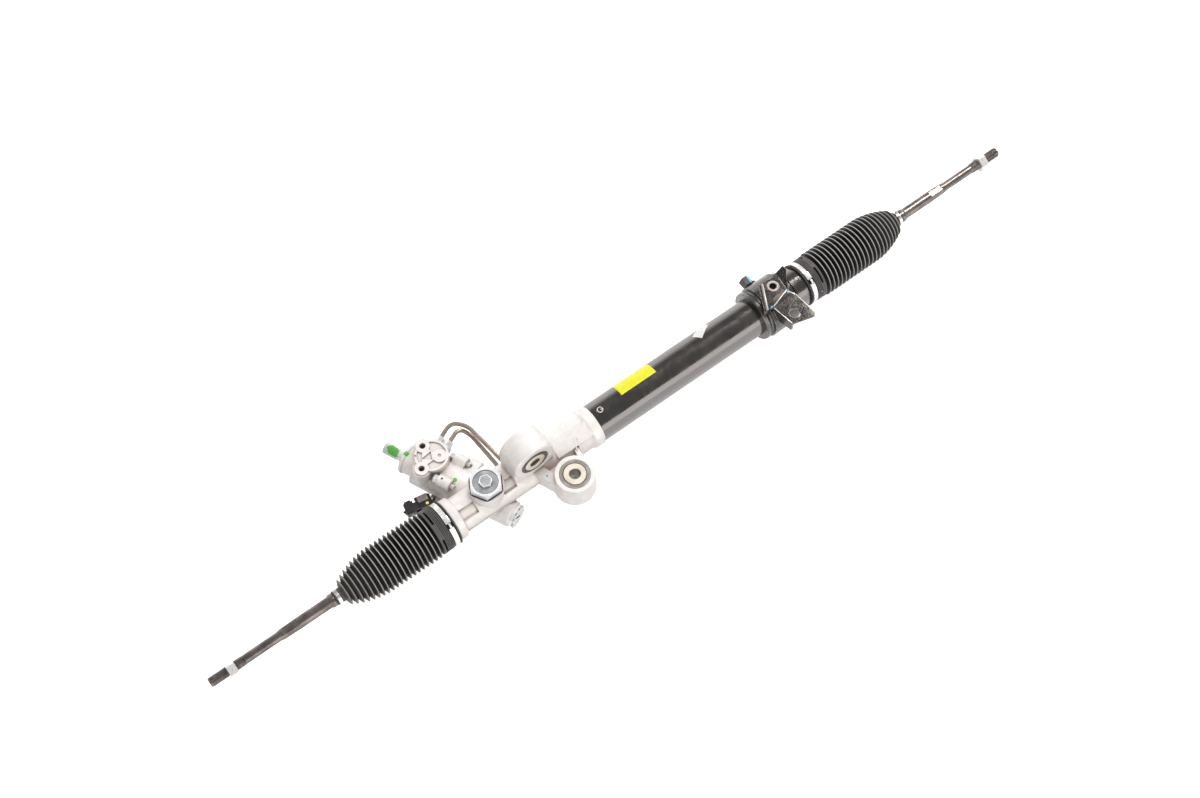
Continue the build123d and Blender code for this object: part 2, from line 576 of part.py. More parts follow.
with BuildPart() as pinion_cap:
    disc(up_pinion(CAP_S - 5), 15.5, 5)
    disc(up_pinion(CAP_S), 14, 6.5)
    disc(up_pinion(CAP_S + 1), 12, 8, mode=Mode.SUBTRACT)
    with BuildSketch(up_pinion(CAP_S - 5)) as slot:
        Rectangle(14, 2.6)
    extrude(slot.sketch, amount=2, mode=Mode.SUBTRACT)
finish(pinion_cap, "pinion_cap")

# The lowest bolt also holds the harness connector's bracket.
HARNESS_PLATE = 1.6
with BuildPart() as valve_bolts:
    for bolt, head_seat in zip(FLANGE_BOLTS, (EAR_FACE, EAR_FACE, EAR_FACE + HARNESS_PLATE)):
        hexagon(up_pinion(head_seat), 10, 6, bolt)
        disc(up_pinion(head_seat), 3, -22, bolt)
finish(valve_bolts, "valve_bolts")

# ---- Rack yoke and its adjuster ------------------------------------------------------------
SADDLE_R = RACK_R + FIT
with BuildPart() as yoke:
    disc(level(4), YOKE_R - 0.1, 20, (PINION_X, 0))
    turn(ring(PINION_X - 20, PINION_X + 20, 0, SADDLE_R), mode=Mode.SUBTRACT)
    disc(level(18), 7, 7, (PINION_X, 0), mode=Mode.SUBTRACT)
finish(yoke, "yoke")

SPRING_LOW, SPRING_HIGH, SPRING_R, SPRING_TURNS = 18.0, 30.0, 5.6, 3.5
with BuildPart() as yoke_spring:
    with BuildLine(Plane(level(SPRING_LOW + 0.8).from_local_coords((PINION_X, 0, 0)))) as coil:
        Helix(pitch=(SPRING_HIGH - SPRING_LOW - 1.6) / SPRING_TURNS,
              height=SPRING_HIGH - SPRING_LOW - 1.6, radius=SPRING_R - 0.7)
    with BuildSketch(Plane(origin=coil.line @ 0, z_dir=coil.line % 0)):
        RegularPolygon(0.7, 8)
    sweep(is_frenet=True)
finish(yoke_spring, "yoke_spring")

with BuildPart() as yoke_plug:
    disc(level(27), YOKE_PLUG_R, NUT_TOP - 29, (PINION_X, 0))
    disc(level(NUT_TOP - 2), 15.2, 1.2, (PINION_X, 0))
    hexagon(level(NUT_TOP - 1), 15, 4.5, (PINION_X, 0), turned=10)
    disc(level(26), 7, 4, (PINION_X, 0), mode=Mode.SUBTRACT)
finish(yoke_plug, "yoke_plug")

with BuildPart() as lock_nut:
    hexagon(level(NUT_SEAT), 38, NUT_TOP - NUT_SEAT, (PINION_X, 0))
    # both faces are turned back to a circle inside the corners
    with BuildSketch(facing(0)) as corner_cut:
        with BuildLine():
            Polyline((19.2, NUT_TOP + 1), (24, NUT_TOP + 1), (24, NUT_TOP - 2.6),
                     (19.2, NUT_TOP), close=True)
        make_face()
    nut_line = Axis(rack_point(PINION_X, 0, 0), (0, 0, 1))
    revolve(Pos(PINION_X, 0, 0) * corner_cut.sketch, axis=nut_line, mode=Mode.SUBTRACT)
    disc(level(NUT_SEAT - 1), YOKE_PLUG_R, 20, (PINION_X, 0), mode=Mode.SUBTRACT)
finish(lock_nut, "lock_nut")

# ---- Mounting bushes -----------------------------------------------------------------------
# Each bush is a steel shell pressed into its boss, a rubber ring and a steel sleeve for the bolt.
SLEEVE_PROUD = 1.0
bushes = {
    "upper": (facing(UPPER_HALF), UPPER_BUSH, 2 * UPPER_HALF),
    "lower": (level(LOWER_BOTTOM), LOWER_BUSH, LOWER_TOP - LOWER_BOTTOM),
}
for bush, (plane, centre, length) in bushes.items():
    with BuildPart() as shell:
        disc(plane.offset(0.5), BUSH_R, length - 1, centre)
        disc(plane.offset(-1), BUSH_RUBBER_R, length + 2, centre, mode=Mode.SUBTRACT)
    finish(shell, f"{bush}_bush_shell")

    with BuildPart() as rubber:
        disc(plane.offset(2), BUSH_RUBBER_R, length - 4, centre)
        disc(plane.offset(1), BUSH_SLEEVE_R, length, centre, mode=Mode.SUBTRACT)
        # a groove is moulded round both faces
        for groove in (plane.offset(length - 6), plane.offset(1)):
            with BuildSketch(groove) as face:
                with Locations(centre):
                    Circle(16.8)
                    Circle(15.2, mode=Mode.SUBTRACT)
            extrude(face.sketch, amount=5, mode=Mode.SUBTRACT)
    finish(rubber, f"{bush}_bush_rubber")

    with BuildPart() as sleeve:
        disc(plane.offset(-SLEEVE_PROUD), BUSH_SLEEVE_R, length + 2 * SLEEVE_PROUD, centre)
        disc(plane.offset(-5), BOLT_HOLE_R, length + 10, centre, mode=Mode.SUBTRACT)
        chamfer(sleeve.edges().filter_by(GeomType.CIRCLE), 0.6)
    finish(sleeve, f"{bush}_bush_sleeve")

# ---- Far-end mount: rubber round the tube, steel bracket over it, one hex bolt -------------
RUBBER_START, RUBBER_END, RUBBER_R, STRAP_R = 194.0, 250.0, 33.0, 36.0
PLATE_Z, PLATE_T = 34.5, 3.0
EAR_HOLE = (226.5, -43.4)
EAR_HOLE_R = 7.25
DOUBLER_T, NUT_HOLE = 2.0, (227.7, 2.8)
BOLT_X, BOLT_TOP_Y = 221.5, 50.0
PANEL_LEFT, PANEL_TOP_LEFT, PANEL_TOP_RIGHT = (198.8, -20.4), (218.6, 15.4), (243.3, 13.9)
PANEL_RIGHT, EAR_RIGHT, EAR_TIP = (240.0, -11.1), (245.3, -22.2), (247.9, -58.0)
EAR_FOOT, EAR_LEFT_LOW, EAR_LEFT = (244.0, -61.8), (214.0, -53.6), (209.7, -20.5)

with BuildPart() as tube_isolator:
    turn([(RUBBER_START, TUBE_R), (RUBBER_START, 33.5), (RUBBER_START + 1.5, 34.5),
          (RUBBER_START + 5, 34.5), (RUBBER_START + 8, RUBBER_R), (RUBBER_END, RUBBER_R),
          (RUBBER_END, TUBE_R)])
    # a round hole lets the bracket's bolt through
    disc(facing(0), 9, -STRAP_R - 2, (BOLT_X, 0), mode=Mode.SUBTRACT)
finish(tube_isolator, "tube_isolator")

with BuildPart() as mount_bracket:
    # strap round the rubber
    turn(ring(206, 244, RUBBER_R, STRAP_R))
    # the plate: an upper panel over the tube and an ear that reaches down beside it
    with BuildSketch(level(PLATE_Z)) as plate:
        with BuildLine():
            Polyline(PANEL_LEFT, PANEL_TOP_LEFT, PANEL_TOP_RIGHT, PANEL_RIGHT, EAR_RIGHT, EAR_TIP,
                     EAR_FOOT, EAR_LEFT_LOW, EAR_LEFT, close=True)
        make_face()
    extrude(plate.sketch, amount=PLATE_T)
    # the panel is doubled by a second plate, with a nut pressed into it
    with BuildSketch(level(PLATE_Z + PLATE_T)) as doubler:
        with BuildLine():
            Polyline(PANEL_LEFT, PANEL_TOP_LEFT, PANEL_TOP_RIGHT, PANEL_RIGHT, EAR_LEFT,
                     close=True)
        make_face()
    extrude(doubler.sketch, amount=DOUBLER_T)
    disc(level(PLATE_Z + PLATE_T + DOUBLER_T), 8.2, 1.6, NUT_HOLE)
    # flanges turned down along the plate's left edges and the ear's right edge
    for start, end, near_depth, far_depth in ((EAR_LEFT, EAR_LEFT_LOW, 20, 14),
                                              (PANEL_LEFT, PANEL_TOP_LEFT, 8, 3),
                                              (EAR_TIP, EAR_RIGHT, 6, 12)):
        edge = Vector(end[0] - start[0], end[1] - start[1], 0)
        side = Plane(origin=rack_point(start[0], start[1], PLATE_Z + PLATE_T), x_dir=edge,
                     z_dir=edge.cross(Vector(0, 0, 1)))
        with BuildSketch(side) as flange:
            with BuildLine():
                Polyline((0, 0), (edge.length, 0), (edge.length, -PLATE_T - far_depth),
                         (0, -PLATE_T - near_depth), close=True)
            make_face()
        extrude(flange.sketch, amount=-PLATE_T)
    # sloping gusset folded up at the far corner
    with BuildSketch(facing(16.5)) as gusset:
        with BuildLine():
            Polyline((240, PLATE_Z), (256, PLATE_Z + 10), (254.6, PLATE_Z + 12.6),
                     (240, PLATE_Z + PLATE_T), close=True)
        make_face()
    extrude(gusset.sketch, amount=27.6)
    with BuildSketch(level(PLATE_Z - 1)) as gusset_trim:
        with BuildLine():
            Polyline((242, -11.2), (270, -11.2), (270, 14), (257, 14), close=True)
        make_face()
    extrude(gusset_trim.sketch, amount=20, mode=Mode.SUBTRACT)
    # keep the strap's inside clear, then the two holes in the plate and the one for the bolt
    turn([(195, 0), (195, 34.5), (RUBBER_START + 5, 34.5), (RUBBER_START + 8, RUBBER_R),
          (260, RUBBER_R), (260, 0)], mode=Mode.SUBTRACT)
    disc(level(PLATE_Z - 1), EAR_HOLE_R, PLATE_T + 2, EAR_HOLE, mode=Mode.SUBTRACT)
    disc(level(PLATE_Z - 1), 5.2, PLATE_T + DOUBLER_T + 4, NUT_HOLE, mode=Mode.SUBTRACT)
    disc(facing(0), 6.2, -60, (BOLT_X, 0), mode=Mode.SUBTRACT)
finish(mount_bracket, "mount_bracket")

with BuildPart() as bracket_bolt:
    disc(facing(TUBE_R + 0.2), 6, -(STRAP_R - TUBE_R + 2), (BOLT_X, 0))
    disc(facing(STRAP_R), 10.5, -2, (BOLT_X, 0))
    hexagon(facing(STRAP_R + 2), 15, -(BOLT_TOP_Y - STRAP_R - 2), (BOLT_X, 0))
finish(bracket_bolt, "bracket_bolt")

# ---- Inner ball joints and tie rods --------------------------------------------------------
CLAMP_OFFSET, CLAMP_WIDTH = 3.2, 6.6         # the big clamp's place behind the bellows' lip
COLLAR = 9.0                   # length of the bellows' small end
BALL_NECK = 6.0                # radius of the rod behind the ball
ends = {"left": -1, "right": 1}
for name, side in ends.items():
    case_end, seat_tip = CASE_END[name], SEAT_TIP[name]
    first_fold, boot_end = FIRST_FOLD[name], BOOT_END[name]

    def out(points):
        """Outline points for this end of the gear."""
        return [(side * along, radius) for along, radius in points]

    def turn_ball(outline, radius, lip, mode=Mode.ADD):
        """Revolve a ball from its inner pole to a lip, with straight outline points after it."""
        mouth = sqrt(radius ** 2 - (lip - BALL_X) ** 2)
        crown = BALL_X if lip > BALL_X else (BALL_X - radius + lip) / 2
        with BuildSketch(facing(0)) as profile:
            with BuildLine():
                ThreePointArc(*out([(BALL_X - radius, 0),
                                    (crown, sqrt(radius ** 2 - (crown - BALL_X) ** 2)),
                                    (lip, mouth)]))
                Polyline(*out([(lip, mouth), *outline, (BALL_X - radius, 0)]))
            make_face()
        revolve(profile.sketch, axis=RACK_AXIS, mode=mode)

    with BuildPart() as socket:
        turn(out([(RACK_END - STUD_LENGTH, 0), (RACK_END - STUD_LENGTH, STUD_R), (SOCKET_IN, STUD_R),
                  (SOCKET_IN, SOCKET_R), (SOCKET_LIP - 5, SOCKET_R), (SOCKET_LIP, 15.5),
                  (SOCKET_LIP, 0)]))
        # cavity for the ball and its seat, and spanner flats on the outside
        turn_ball([(SOCKET_LIP + 1, 0)], SEAT_OUTER_R + FIT, SOCKET_LIP, mode=Mode.SUBTRACT)
        for flat_side in (-1, 1):
            with BuildSketch(across(side * (SOCKET_IN + 1.5))) as flat:
                with Locations((0, flat_side * 25)):
                    Rectangle(50, 18)
            extrude(flat.sketch, amount=side * 10, mode=Mode.SUBTRACT)
    finish(socket, f"{name}_ball_socket")

    # the seat is a plastic cup that wraps the ball beyond its middle
    seat_lip = BALL_X + 5.5
    with BuildPart() as seat:
        turn_ball([(seat_lip, 0)], SEAT_OUTER_R, seat_lip)
        turn_ball([(seat_lip, 0)], BALL_R + FIT, seat_lip, mode=Mode.SUBTRACT)
        turn(out(ring(BALL_X - 20, BALL_X - 5, 0, 5)), mode=Mode.SUBTRACT)
    finish(seat, f"{name}_ball_seat")

    ball_edge = BALL_X + sqrt(BALL_R ** 2 - BALL_NECK ** 2)
    with BuildPart() as tie_rod:
        turn_ball([(392, BALL_NECK), (398, ROD_R), (boot_end - 1, ROD_R), (boot_end, ROD_R - 0.8),
                   (boot_end + COLLAR, ROD_R - 0.8), (boot_end + COLLAR + 1, 9),
                   (boot_end + COLLAR + 6, 9), (boot_end + COLLAR + 8, ROD_R), (500, ROD_R),
                   (526, 7), (530, 6.1), (574, 6.1), (577, THREAD_R), (589.5, THREAD_R),
                   (589.5, NUT_THREAD_R), (THREAD_START, NUT_THREAD_R), (THREAD_START, THREAD_R),
                   (ROD_TIP - 1, THREAD_R), (ROD_TIP, THREAD_R - 1), (ROD_TIP, 0)],
                  BALL_R, ball_edge)
        # spanner flats
        with BuildSketch(across(side * 503)) as flats:
            for flat_side in (-1, 1):
                with Locations((0, flat_side * 10.8)):
                    Rectangle(20, 10)
        extrude(flats.sketch, amount=side * 20, mode=Mode.SUBTRACT)
    finish(tie_rod, f"{name}_tie_rod")

    with BuildPart() as jam_nut:
        hexagon(across(side * 590), 21, side * 11, turned=90)
        turn(out(ring(589, 602, 0, NUT_THREAD_R)), mode=Mode.SUBTRACT)
        turn(out([(602, 10.5), (602, 14), (598.5, 14)]), mode=Mode.SUBTRACT)
        turn(out([(589, 10.5), (589, 14), (592.5, 14)]), mode=Mode.SUBTRACT)
    finish(jam_nut, f"{name}_jam_nut")

    # rubber bellows: folds outside, a smooth wall inside
    def fold_radius(along):
        """Radius over the folds: straight, then drawn in towards the rod."""
        drawn_in = max(0, (along - 385) / 57)
        return BOOT_R - 17 * drawn_in ** 2

    pitch = (boot_end - 2 - first_fold) / BOOT_FOLDS[name]
    folds = []
    for fold in range(BOOT_FOLDS[name]):
        peak = first_fold + (fold + 0.5) * pitch
        folds += [(peak - 0.2 * pitch, fold_radius(peak)), (peak + 0.2 * pitch, fold_radius(peak)),
                  (peak + 0.5 * pitch, fold_radius(peak) - BOOT_VALLEY)]
    with BuildPart() as bellows:
        turn(out([(case_end + 0.3, SEAT_R), (case_end + 0.3, 30.4), (case_end + 1.5, 30.4),
                  (case_end + 1.5, 29), (seat_tip + 1, 29), (first_fold - 4, BOOT_R - 2),
                  (first_fold - 1.5, BOOT_R - 2), (first_fold, BOOT_R - BOOT_VALLEY), *folds,
                  (boot_end, 9.2), (boot_end + COLLAR, 9.2), (boot_end + COLLAR, ROD_R - 0.8 + FIT),
                  (boot_end, ROD_R + FIT), (boot_end - 3, ROD_R + FIT), (boot_end - 12, 11),
                  (boot_end - 42, 24.5), (seat_tip + 4, 24.5), (seat_tip + 1, SEAT_R)]))
    finish(bellows, f"{name}_bellows")

    # band clamp at the big end, with its crimped ear on top
    clamp_start = case_end + CLAMP_OFFSET
    with BuildPart() as big_clamp:
        turn(out(ring(clamp_start, clamp_start + CLAMP_WIDTH, 29, 29.8)))
        with BuildSketch(across(side * (clamp_start + 0.5))) as ear:
            with Locations((-14, 27.2)):
                Rectangle(9, 3.4, rotation=27)
        extrude(ear.sketch, amount=side * (CLAMP_WIDTH - 1))
        turn(out(ring(case_end, seat_tip, 0, 29)), mode=Mode.SUBTRACT)
    finish(big_clamp, f"{name}_big_clamp")

    # spring clip at the small end, with two finger tabs
    with BuildPart() as small_clip:
        turn(out(ring(boot_end + 2.5, boot_end + 7, 9.5, 10.6)))
        for tab_angle in (-14, 14):
            with BuildSketch(spun(across(side * (boot_end + 2.5)), tab_angle)) as tab:
                with Locations((0, 13)):
                    Rectangle(1.2, 6)
            extrude(tab.sketch, amount=side * 4.5)
    finish(small_clip, f"{name}_small_clip")

with BuildPart() as lock_washers:
    for side in ends.values():
        disc(across(side * RACK_END), 15.5, side * (SOCKET_IN - RACK_END))
        disc(across(side * RACK_END), STUD_R, side * 2, mode=Mode.SUBTRACT)
finish(lock_washers, "lock_washers")

# ---- Steel hydraulic lines from the valve to both ends of the cylinder ---------------------

def bent_line(points, label):
    """A steel line along its points, each bend as wide as its two runs allow."""
    corners = [Vector(point) for point in points]
    radii = []
    for before, at, after in zip(corners, corners[1:], corners[2:]):
        half_turn = radians((at - before).get_angle(after - at)) / 2
        shorter = min((at - before).length, (after - at).length)
        radii.append(min(0.45 * shorter / tan(half_turn), 60))
    with BuildPart() as line:
        with BuildLine() as route:
            FilletPolyline(*corners, radius=radii)
        with BuildSketch(Plane(origin=route.line @ 0, z_dir=route.line % 0)):
            Circle(LINE_R)
        sweep()
    print(label, "bend radii", [round(radius, 1) for radius in radii],
          "length", round(route.wire().length), "volume ratio",
          round(line.part.volume / (pi * LINE_R ** 2 * route.wire().length), 3))
    finish(line, label)


NUT_BURIED = 8.0               # length of a valve nut inside its outlet
line_starts = [pinion_point(along, OUTLET_MOUTH - NUT_BURIED, above) for along, above in LINE_PORTS]
line_turns = [pinion_point(along, beside, above)
              for (along, above), beside in zip(LINE_PORTS, (67, 64))]
long_route = [line_starts[0], line_turns[0], rack_point(-189.5, 96.5, -7),
              rack_point(-182, 34, -10), rack_point(-174, 17, -36), rack_point(-130, 13, -37.5),
              rack_point(100, 12, -38.5), port_plane(FAR_PORT_X, 36).origin,
              port_plane(FAR_PORT_X, PORT_LENGTH - MOUTH_LENGTH).origin]
short_route = [line_starts[1], line_turns[1], rack_point(-191, 90, -19),
               rack_point(-189, 36, -18), rack_point(-185, 11, -36), rack_point(-150, 3, -38),
               port_plane(NEAR_PORT_X, 36).origin,
               port_plane(NEAR_PORT_X, PORT_LENGTH - MOUTH_LENGTH).origin]
bent_line(long_route, "long_hydraulic_line")
bent_line(short_route, "short_hydraulic_line")

with BuildPart() as line_nuts:
    nut_places = [(outlet_plane(along, above, OUTLET_MOUTH - NUT_BURIED), NUT_BURIED)
                  for along, above in LINE_PORTS]
    for port_x in (FAR_PORT_X, NEAR_PORT_X):
        nut_places.append((port_plane(port_x, PORT_LENGTH - MOUTH_LENGTH), MOUTH_LENGTH))
    for plane, buried in nut_places:
        disc(plane, 5.5, buried)
        hexagon(plane.offset(buried), 11, 8)
        disc(plane.offset(-1), LINE_R, buried + 12, mode=Mode.SUBTRACT)
finish(line_nuts, "line_nuts")

# ---- Harness connector beside the left bellows ---------------------------------------------
# Its bracket is held under the lowest flange bolt and carries a shelf under the connector.
with BuildPart() as connector_bracket:
    with BuildSketch(up_pinion(EAR_FACE)) as upright:
        with Locations((-24, 16)):
            Circle(6.4)
        with BuildLine():
            Polyline((-19, 12), (-21, 21), (-32, 20), (-46, 4), (-46, 2), (-34, 2), close=True)
        make_face()
        with Locations((-24, 16)):
            Circle(3.3, mode=Mode.SUBTRACT)
    extrude(upright.sketch, amount=HARNESS_PLATE)
    shelf_near, shelf_far = over_pinion(EAR_FACE, -34), over_pinion(EAR_FACE, -46)
    with BuildSketch(level(PINION_Z - 3.6)) as shelf:
        with BuildLine():
            Polyline(shelf_near, shelf_far, (-317, 42), (-319, 53), (-284, 50), close=True)
        make_face()
    extrude(shelf.sketch, amount=HARNESS_PLATE)
finish(connector_bracket, "connector_bracket")

# The connector's two halves lie in line: a neck from the socket half reaches the plug half.
connector_row = Plane(origin=rack_point(-290, 44.5, PINION_Z - 2), x_dir=(0.982, -0.19, 0))
with BuildPart() as connector_socket:
    with BuildSketch(connector_row) as socket_body:
        with Locations((0, 0.5)):
            Rectangle(16, 15)
    extrude(socket_body.sketch, amount=10)
    # the rail that the latch clips over
    with BuildSketch(connector_row.offset(2)) as rail:
        with Locations((-3, 9)):
            Rectangle(17, 3)
    extrude(rail.sketch, amount=6)
    with BuildSketch(connector_row.offset(3)) as neck:
        with Locations((-11, 0)):
            Rectangle(8, 10)
    extrude(neck.sketch, amount=5)
finish(connector_socket, "connector_socket")

with BuildPart() as connector_plug:
    with BuildSketch(connector_row) as plug_body:
        with Locations((-21, 0)):
            Rectangle(12, 16)
    extrude(plug_body.sketch, amount=9)
    with BuildSketch(connector_row.offset(4)) as latch:
        with Locations((-21, 8.5)):
            Rectangle(8, 4)
    extrude(latch.sketch, amount=4)
finish(connector_plug, "connector_plug")
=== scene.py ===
# %% [markdown]
# # Dressing a steering rack
# A steering rack turns the wheel's rotation into a sideways push on both front wheels. The CAD
# frame already holds every piece in its place, so this lesson gives each one its finish, adds
# the fine pieces that a CAD model leaves plain, and builds the rubber bellows fold by fold.
# The frame is loaded first, because everything later is placed by it.

# %% Load the frame
import json
import math
import bmesh
import bpy
from mathutils import Matrix, Vector


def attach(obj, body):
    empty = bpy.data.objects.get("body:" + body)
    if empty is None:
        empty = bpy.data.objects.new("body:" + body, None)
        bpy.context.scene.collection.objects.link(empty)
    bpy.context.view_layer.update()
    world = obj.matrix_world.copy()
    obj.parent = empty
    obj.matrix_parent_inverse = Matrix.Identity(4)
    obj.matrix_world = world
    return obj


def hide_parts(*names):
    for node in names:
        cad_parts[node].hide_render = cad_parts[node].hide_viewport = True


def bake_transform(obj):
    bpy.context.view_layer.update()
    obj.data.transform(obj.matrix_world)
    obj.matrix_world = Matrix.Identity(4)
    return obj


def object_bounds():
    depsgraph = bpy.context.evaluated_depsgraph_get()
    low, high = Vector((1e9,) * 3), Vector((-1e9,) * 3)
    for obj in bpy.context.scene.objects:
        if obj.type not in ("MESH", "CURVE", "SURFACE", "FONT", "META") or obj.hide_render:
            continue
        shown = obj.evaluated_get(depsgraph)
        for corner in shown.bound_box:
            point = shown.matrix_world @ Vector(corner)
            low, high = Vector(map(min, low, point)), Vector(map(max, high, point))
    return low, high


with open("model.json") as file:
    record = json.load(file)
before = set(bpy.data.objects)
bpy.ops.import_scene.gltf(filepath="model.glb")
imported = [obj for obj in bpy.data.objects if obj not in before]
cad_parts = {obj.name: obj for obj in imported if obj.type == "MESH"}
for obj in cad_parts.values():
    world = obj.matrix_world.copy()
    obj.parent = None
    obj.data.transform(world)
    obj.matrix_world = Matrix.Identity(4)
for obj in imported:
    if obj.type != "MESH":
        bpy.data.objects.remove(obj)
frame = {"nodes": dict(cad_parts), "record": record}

nodes = frame["nodes"]
cad_low, cad_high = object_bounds()
print("CAD box in m:", [round(v, 3) for v in cad_high - cad_low])

# %% [markdown]
# ## Where things are
# The frame's origin is a bolt hole, which is handy for a fitter but not for describing a rack.
# A maker measures along the rack from its middle, so every place below is given as millimetres
# along, across and above the rack bar's own centre line, and one helper turns that into metres.

# %% Places on the rack
RACK_MIDDLE = Vector((0.1305, 0.0526, -0.013))
MM = 0.001


def on_rack(along, across=0.0, above=0.0):
    """A place given in millimetres from the middle of the rack bar."""
    return RACK_MIDDLE + Vector((along, across, above)) * MM


print("rack middle:", tuple(round(v, 4) for v in on_rack(0)))

# %% [markdown]
# ## Camera
# The rack is long and thin, so it is shown from corner to corner and from well above. The camera
# looks down at 63 degrees from the side of the lower mounting lug, and a long lens keeps both
# tie rods the same size.

# %% Camera
camera_data = bpy.data.cameras.new("studio_camera")
camera_data.lens, camera_data.sensor_width, camera_data.clip_end = 52.2, 36.0, 20
camera = bpy.data.objects.new("studio_camera", camera_data)
bpy.context.scene.collection.objects.link(camera)
bpy.context.scene.camera = camera
CAMERA_AIM, CAMERA_DISTANCE = on_rack(-37.5, 19.9, 8.0), 2.2
camera_back = Vector((-0.2706, -0.3596, 0.8931)).normalized()
camera.location = CAMERA_AIM + camera_back * CAMERA_DISTANCE
camera.rotation_mode = "QUATERNION"
camera.rotation_quaternion = camera_back.to_track_quat("Z", "Y")
print("camera at", tuple(round(v, 3) for v in camera.location))

# %% [markdown]
# ## Floor and light
# A part for a catalogue lies on a table that is lit from below as well, so that it casts hardly
# a shadow. The table is hidden from diffuse rays, or it would light every side as brightly as the
# top. Black paint shows little but its surroundings, so the tube needs something to mirror: the
# table and a long low panel beside it draw the sharp pale band along the tube. One more panel
# hangs overhead for the top faces, and a weak one fills the near sides. Each does one job only:
# those two are hidden from mirrors, so that the paint stays deep on top, and the others are seen
# by nothing but mirrors. On the far side three strips, weaker towards the top, make the soft
# gleam that fades into the black, and a small panel puts a bright line on the far tie rod.

# %% Floor
table_height = cad_low.z - MM
floor_mesh = bpy.data.meshes.new("table_top")
flat = bmesh.new()
bmesh.ops.create_grid(flat, x_segments=1, y_segments=1, size=6)
bmesh.ops.translate(flat, vec=(0, 0, table_height), verts=flat.verts)
flat.to_mesh(floor_mesh)
flat.free()
floor = bpy.data.objects.new("table_top", floor_mesh)
bpy.context.scene.collection.objects.link(floor)
floor.visible_diffuse = False
white_table = bpy.data.materials.new("white_table")
white_table.use_nodes = True
table_shader = white_table.node_tree.nodes["Principled BSDF"]
table_shader.inputs["Base Color"].default_value = (0.93, 0.93, 0.93, 1)
table_shader.inputs["Roughness"].default_value = 0.75
table_shader.inputs["Emission Color"].default_value = (1, 0.95, 0.93, 1)
table_shader.inputs["Emission Strength"].default_value = 0.85
floor_mesh.materials.append(white_table)
print("table top in mm:", round(table_height / MM, 1))

# %% Lights
world = bpy.data.worlds.new("studio_world")
bpy.context.scene.world = world
world.use_nodes = True
sky = world.node_tree.nodes["Background"]
sky.inputs["Color"].default_value = (1, 0.98, 0.95, 1)
sky.inputs["Strength"].default_value = 0.32
bpy.context.scene.view_settings.view_transform = "Standard"


def soft_panel(name, place, aim, width, height, watts, for_mirrors):
    """A rectangular soft box at a place, facing the aim, for mirrors only or for all the rest."""
    data = bpy.data.lights.new(name, "AREA")
    data.color = (1.0, 0.92, 0.885) if for_mirrors else (1, 1, 1)
    data.shape, data.size, data.size_y, data.energy = "RECTANGLE", width, height, watts
    panel = bpy.data.objects.new(name, data)
    bpy.context.scene.collection.objects.link(panel)
    panel.location = place
    panel.rotation_mode = "QUATERNION"
    panel.rotation_quaternion = (Vector(place) - Vector(aim)).to_track_quat("Z", "Y")
    panel.visible_glossy, panel.visible_diffuse = for_mirrors, not for_mirrors
    panel.visible_camera = False
    print(name, "of", watts, "W")


soft_panel("overhead_panel", (0.5, 0.9, 2.6), on_rack(0), 3.0, 1.8, 75, False)
soft_panel("fill_panel", (-0.4, -2.4, 0.7), on_rack(0), 4.0, 2.0, 30, False)
soft_panel("side_panel", (-0.4, -2.7, 0.85), on_rack(0), 7.0, 1.8, 115, True)
for number, (height, watts) in enumerate(((0.3, 26), (0.85, 14), (1.4, 6)), 1):
    soft_panel(f"far_strip_{number}", (0.4, 2.7, height), on_rack(0), 7.0, 0.55, watts, True)
soft_panel("rod_panel", on_rack(1390, 330, 1500), on_rack(530), 0.6, 0.6, 34, True)

# %% [markdown]
# ## Node helpers
# A finish is a small network of nodes. A few helpers keep the networks short: they add a node and
# fill or link its sockets, give the value of a noise, move a value to another range, or do one
# sum. The last one starts a node group with named sockets, so that an effect such as sand-cast
# grain is written once and used by several materials.

# %% Helpers for nodes
def fill(tree, socket, value):
    """A socket linked to another node's output, or set to a plain value."""
    if isinstance(value, bpy.types.NodeSocket):
        tree.links.new(value, socket)
    else:
        socket.default_value = value


def add_node(tree, kind, sockets=None, **settings):
    """A shader node with its settings made and its sockets filled."""
    node = tree.nodes.new("ShaderNode" + kind)
    for name, value in settings.items():
        setattr(node, name, value)
    for name, value in (sockets or {}).items():
        fill(tree, node.inputs[name], value)
    return node


def noise(tree, place, scale, detail, **shape):
    """The value of a noise over a place."""
    sockets = {"Vector": place, "Scale": scale, "Detail": detail, **shape}
    return add_node(tree, "TexNoise", sockets).outputs["Fac"]


def spread(tree, value, low, high, start=0.0, end=1.0):
    """A value between two limits turned into another range."""
    return add_node(tree, "MapRange", {"Value": value, "From Min": low, "From Max": high,
                                       "To Min": start, "To Max": end}).outputs[0]


def worked_out(tree, operation, first, second):
    """The result of one sum on two values."""
    return add_node(tree, "Math", {0: first, 1: second}, operation=operation).outputs[0]


def start_group(name, inputs, outputs):
    """A node group with sockets given as name: type, and its two end nodes."""
    tree = bpy.data.node_groups.new(name, "ShaderNodeTree")
    for direction, sockets in (("INPUT", inputs), ("OUTPUT", outputs)):
        for socket, kind in sockets.items():
            tree.interface.new_socket(name=socket, in_out=direction,
                                      socket_type="NodeSocket" + kind)
    return tree, tree.nodes.new("NodeGroupInput"), tree.nodes.new("NodeGroupOutput")


print("node helpers ready")

# %% [markdown]
# ## Grain of a casting
# A die-cast housing copies its steel mould: a fine sandy skin with faint flow marks, and a few
# pits where gas was caught. Two noises and a cell pattern give that. The group puts out a height
# for the bump and a slow tone for the colour.

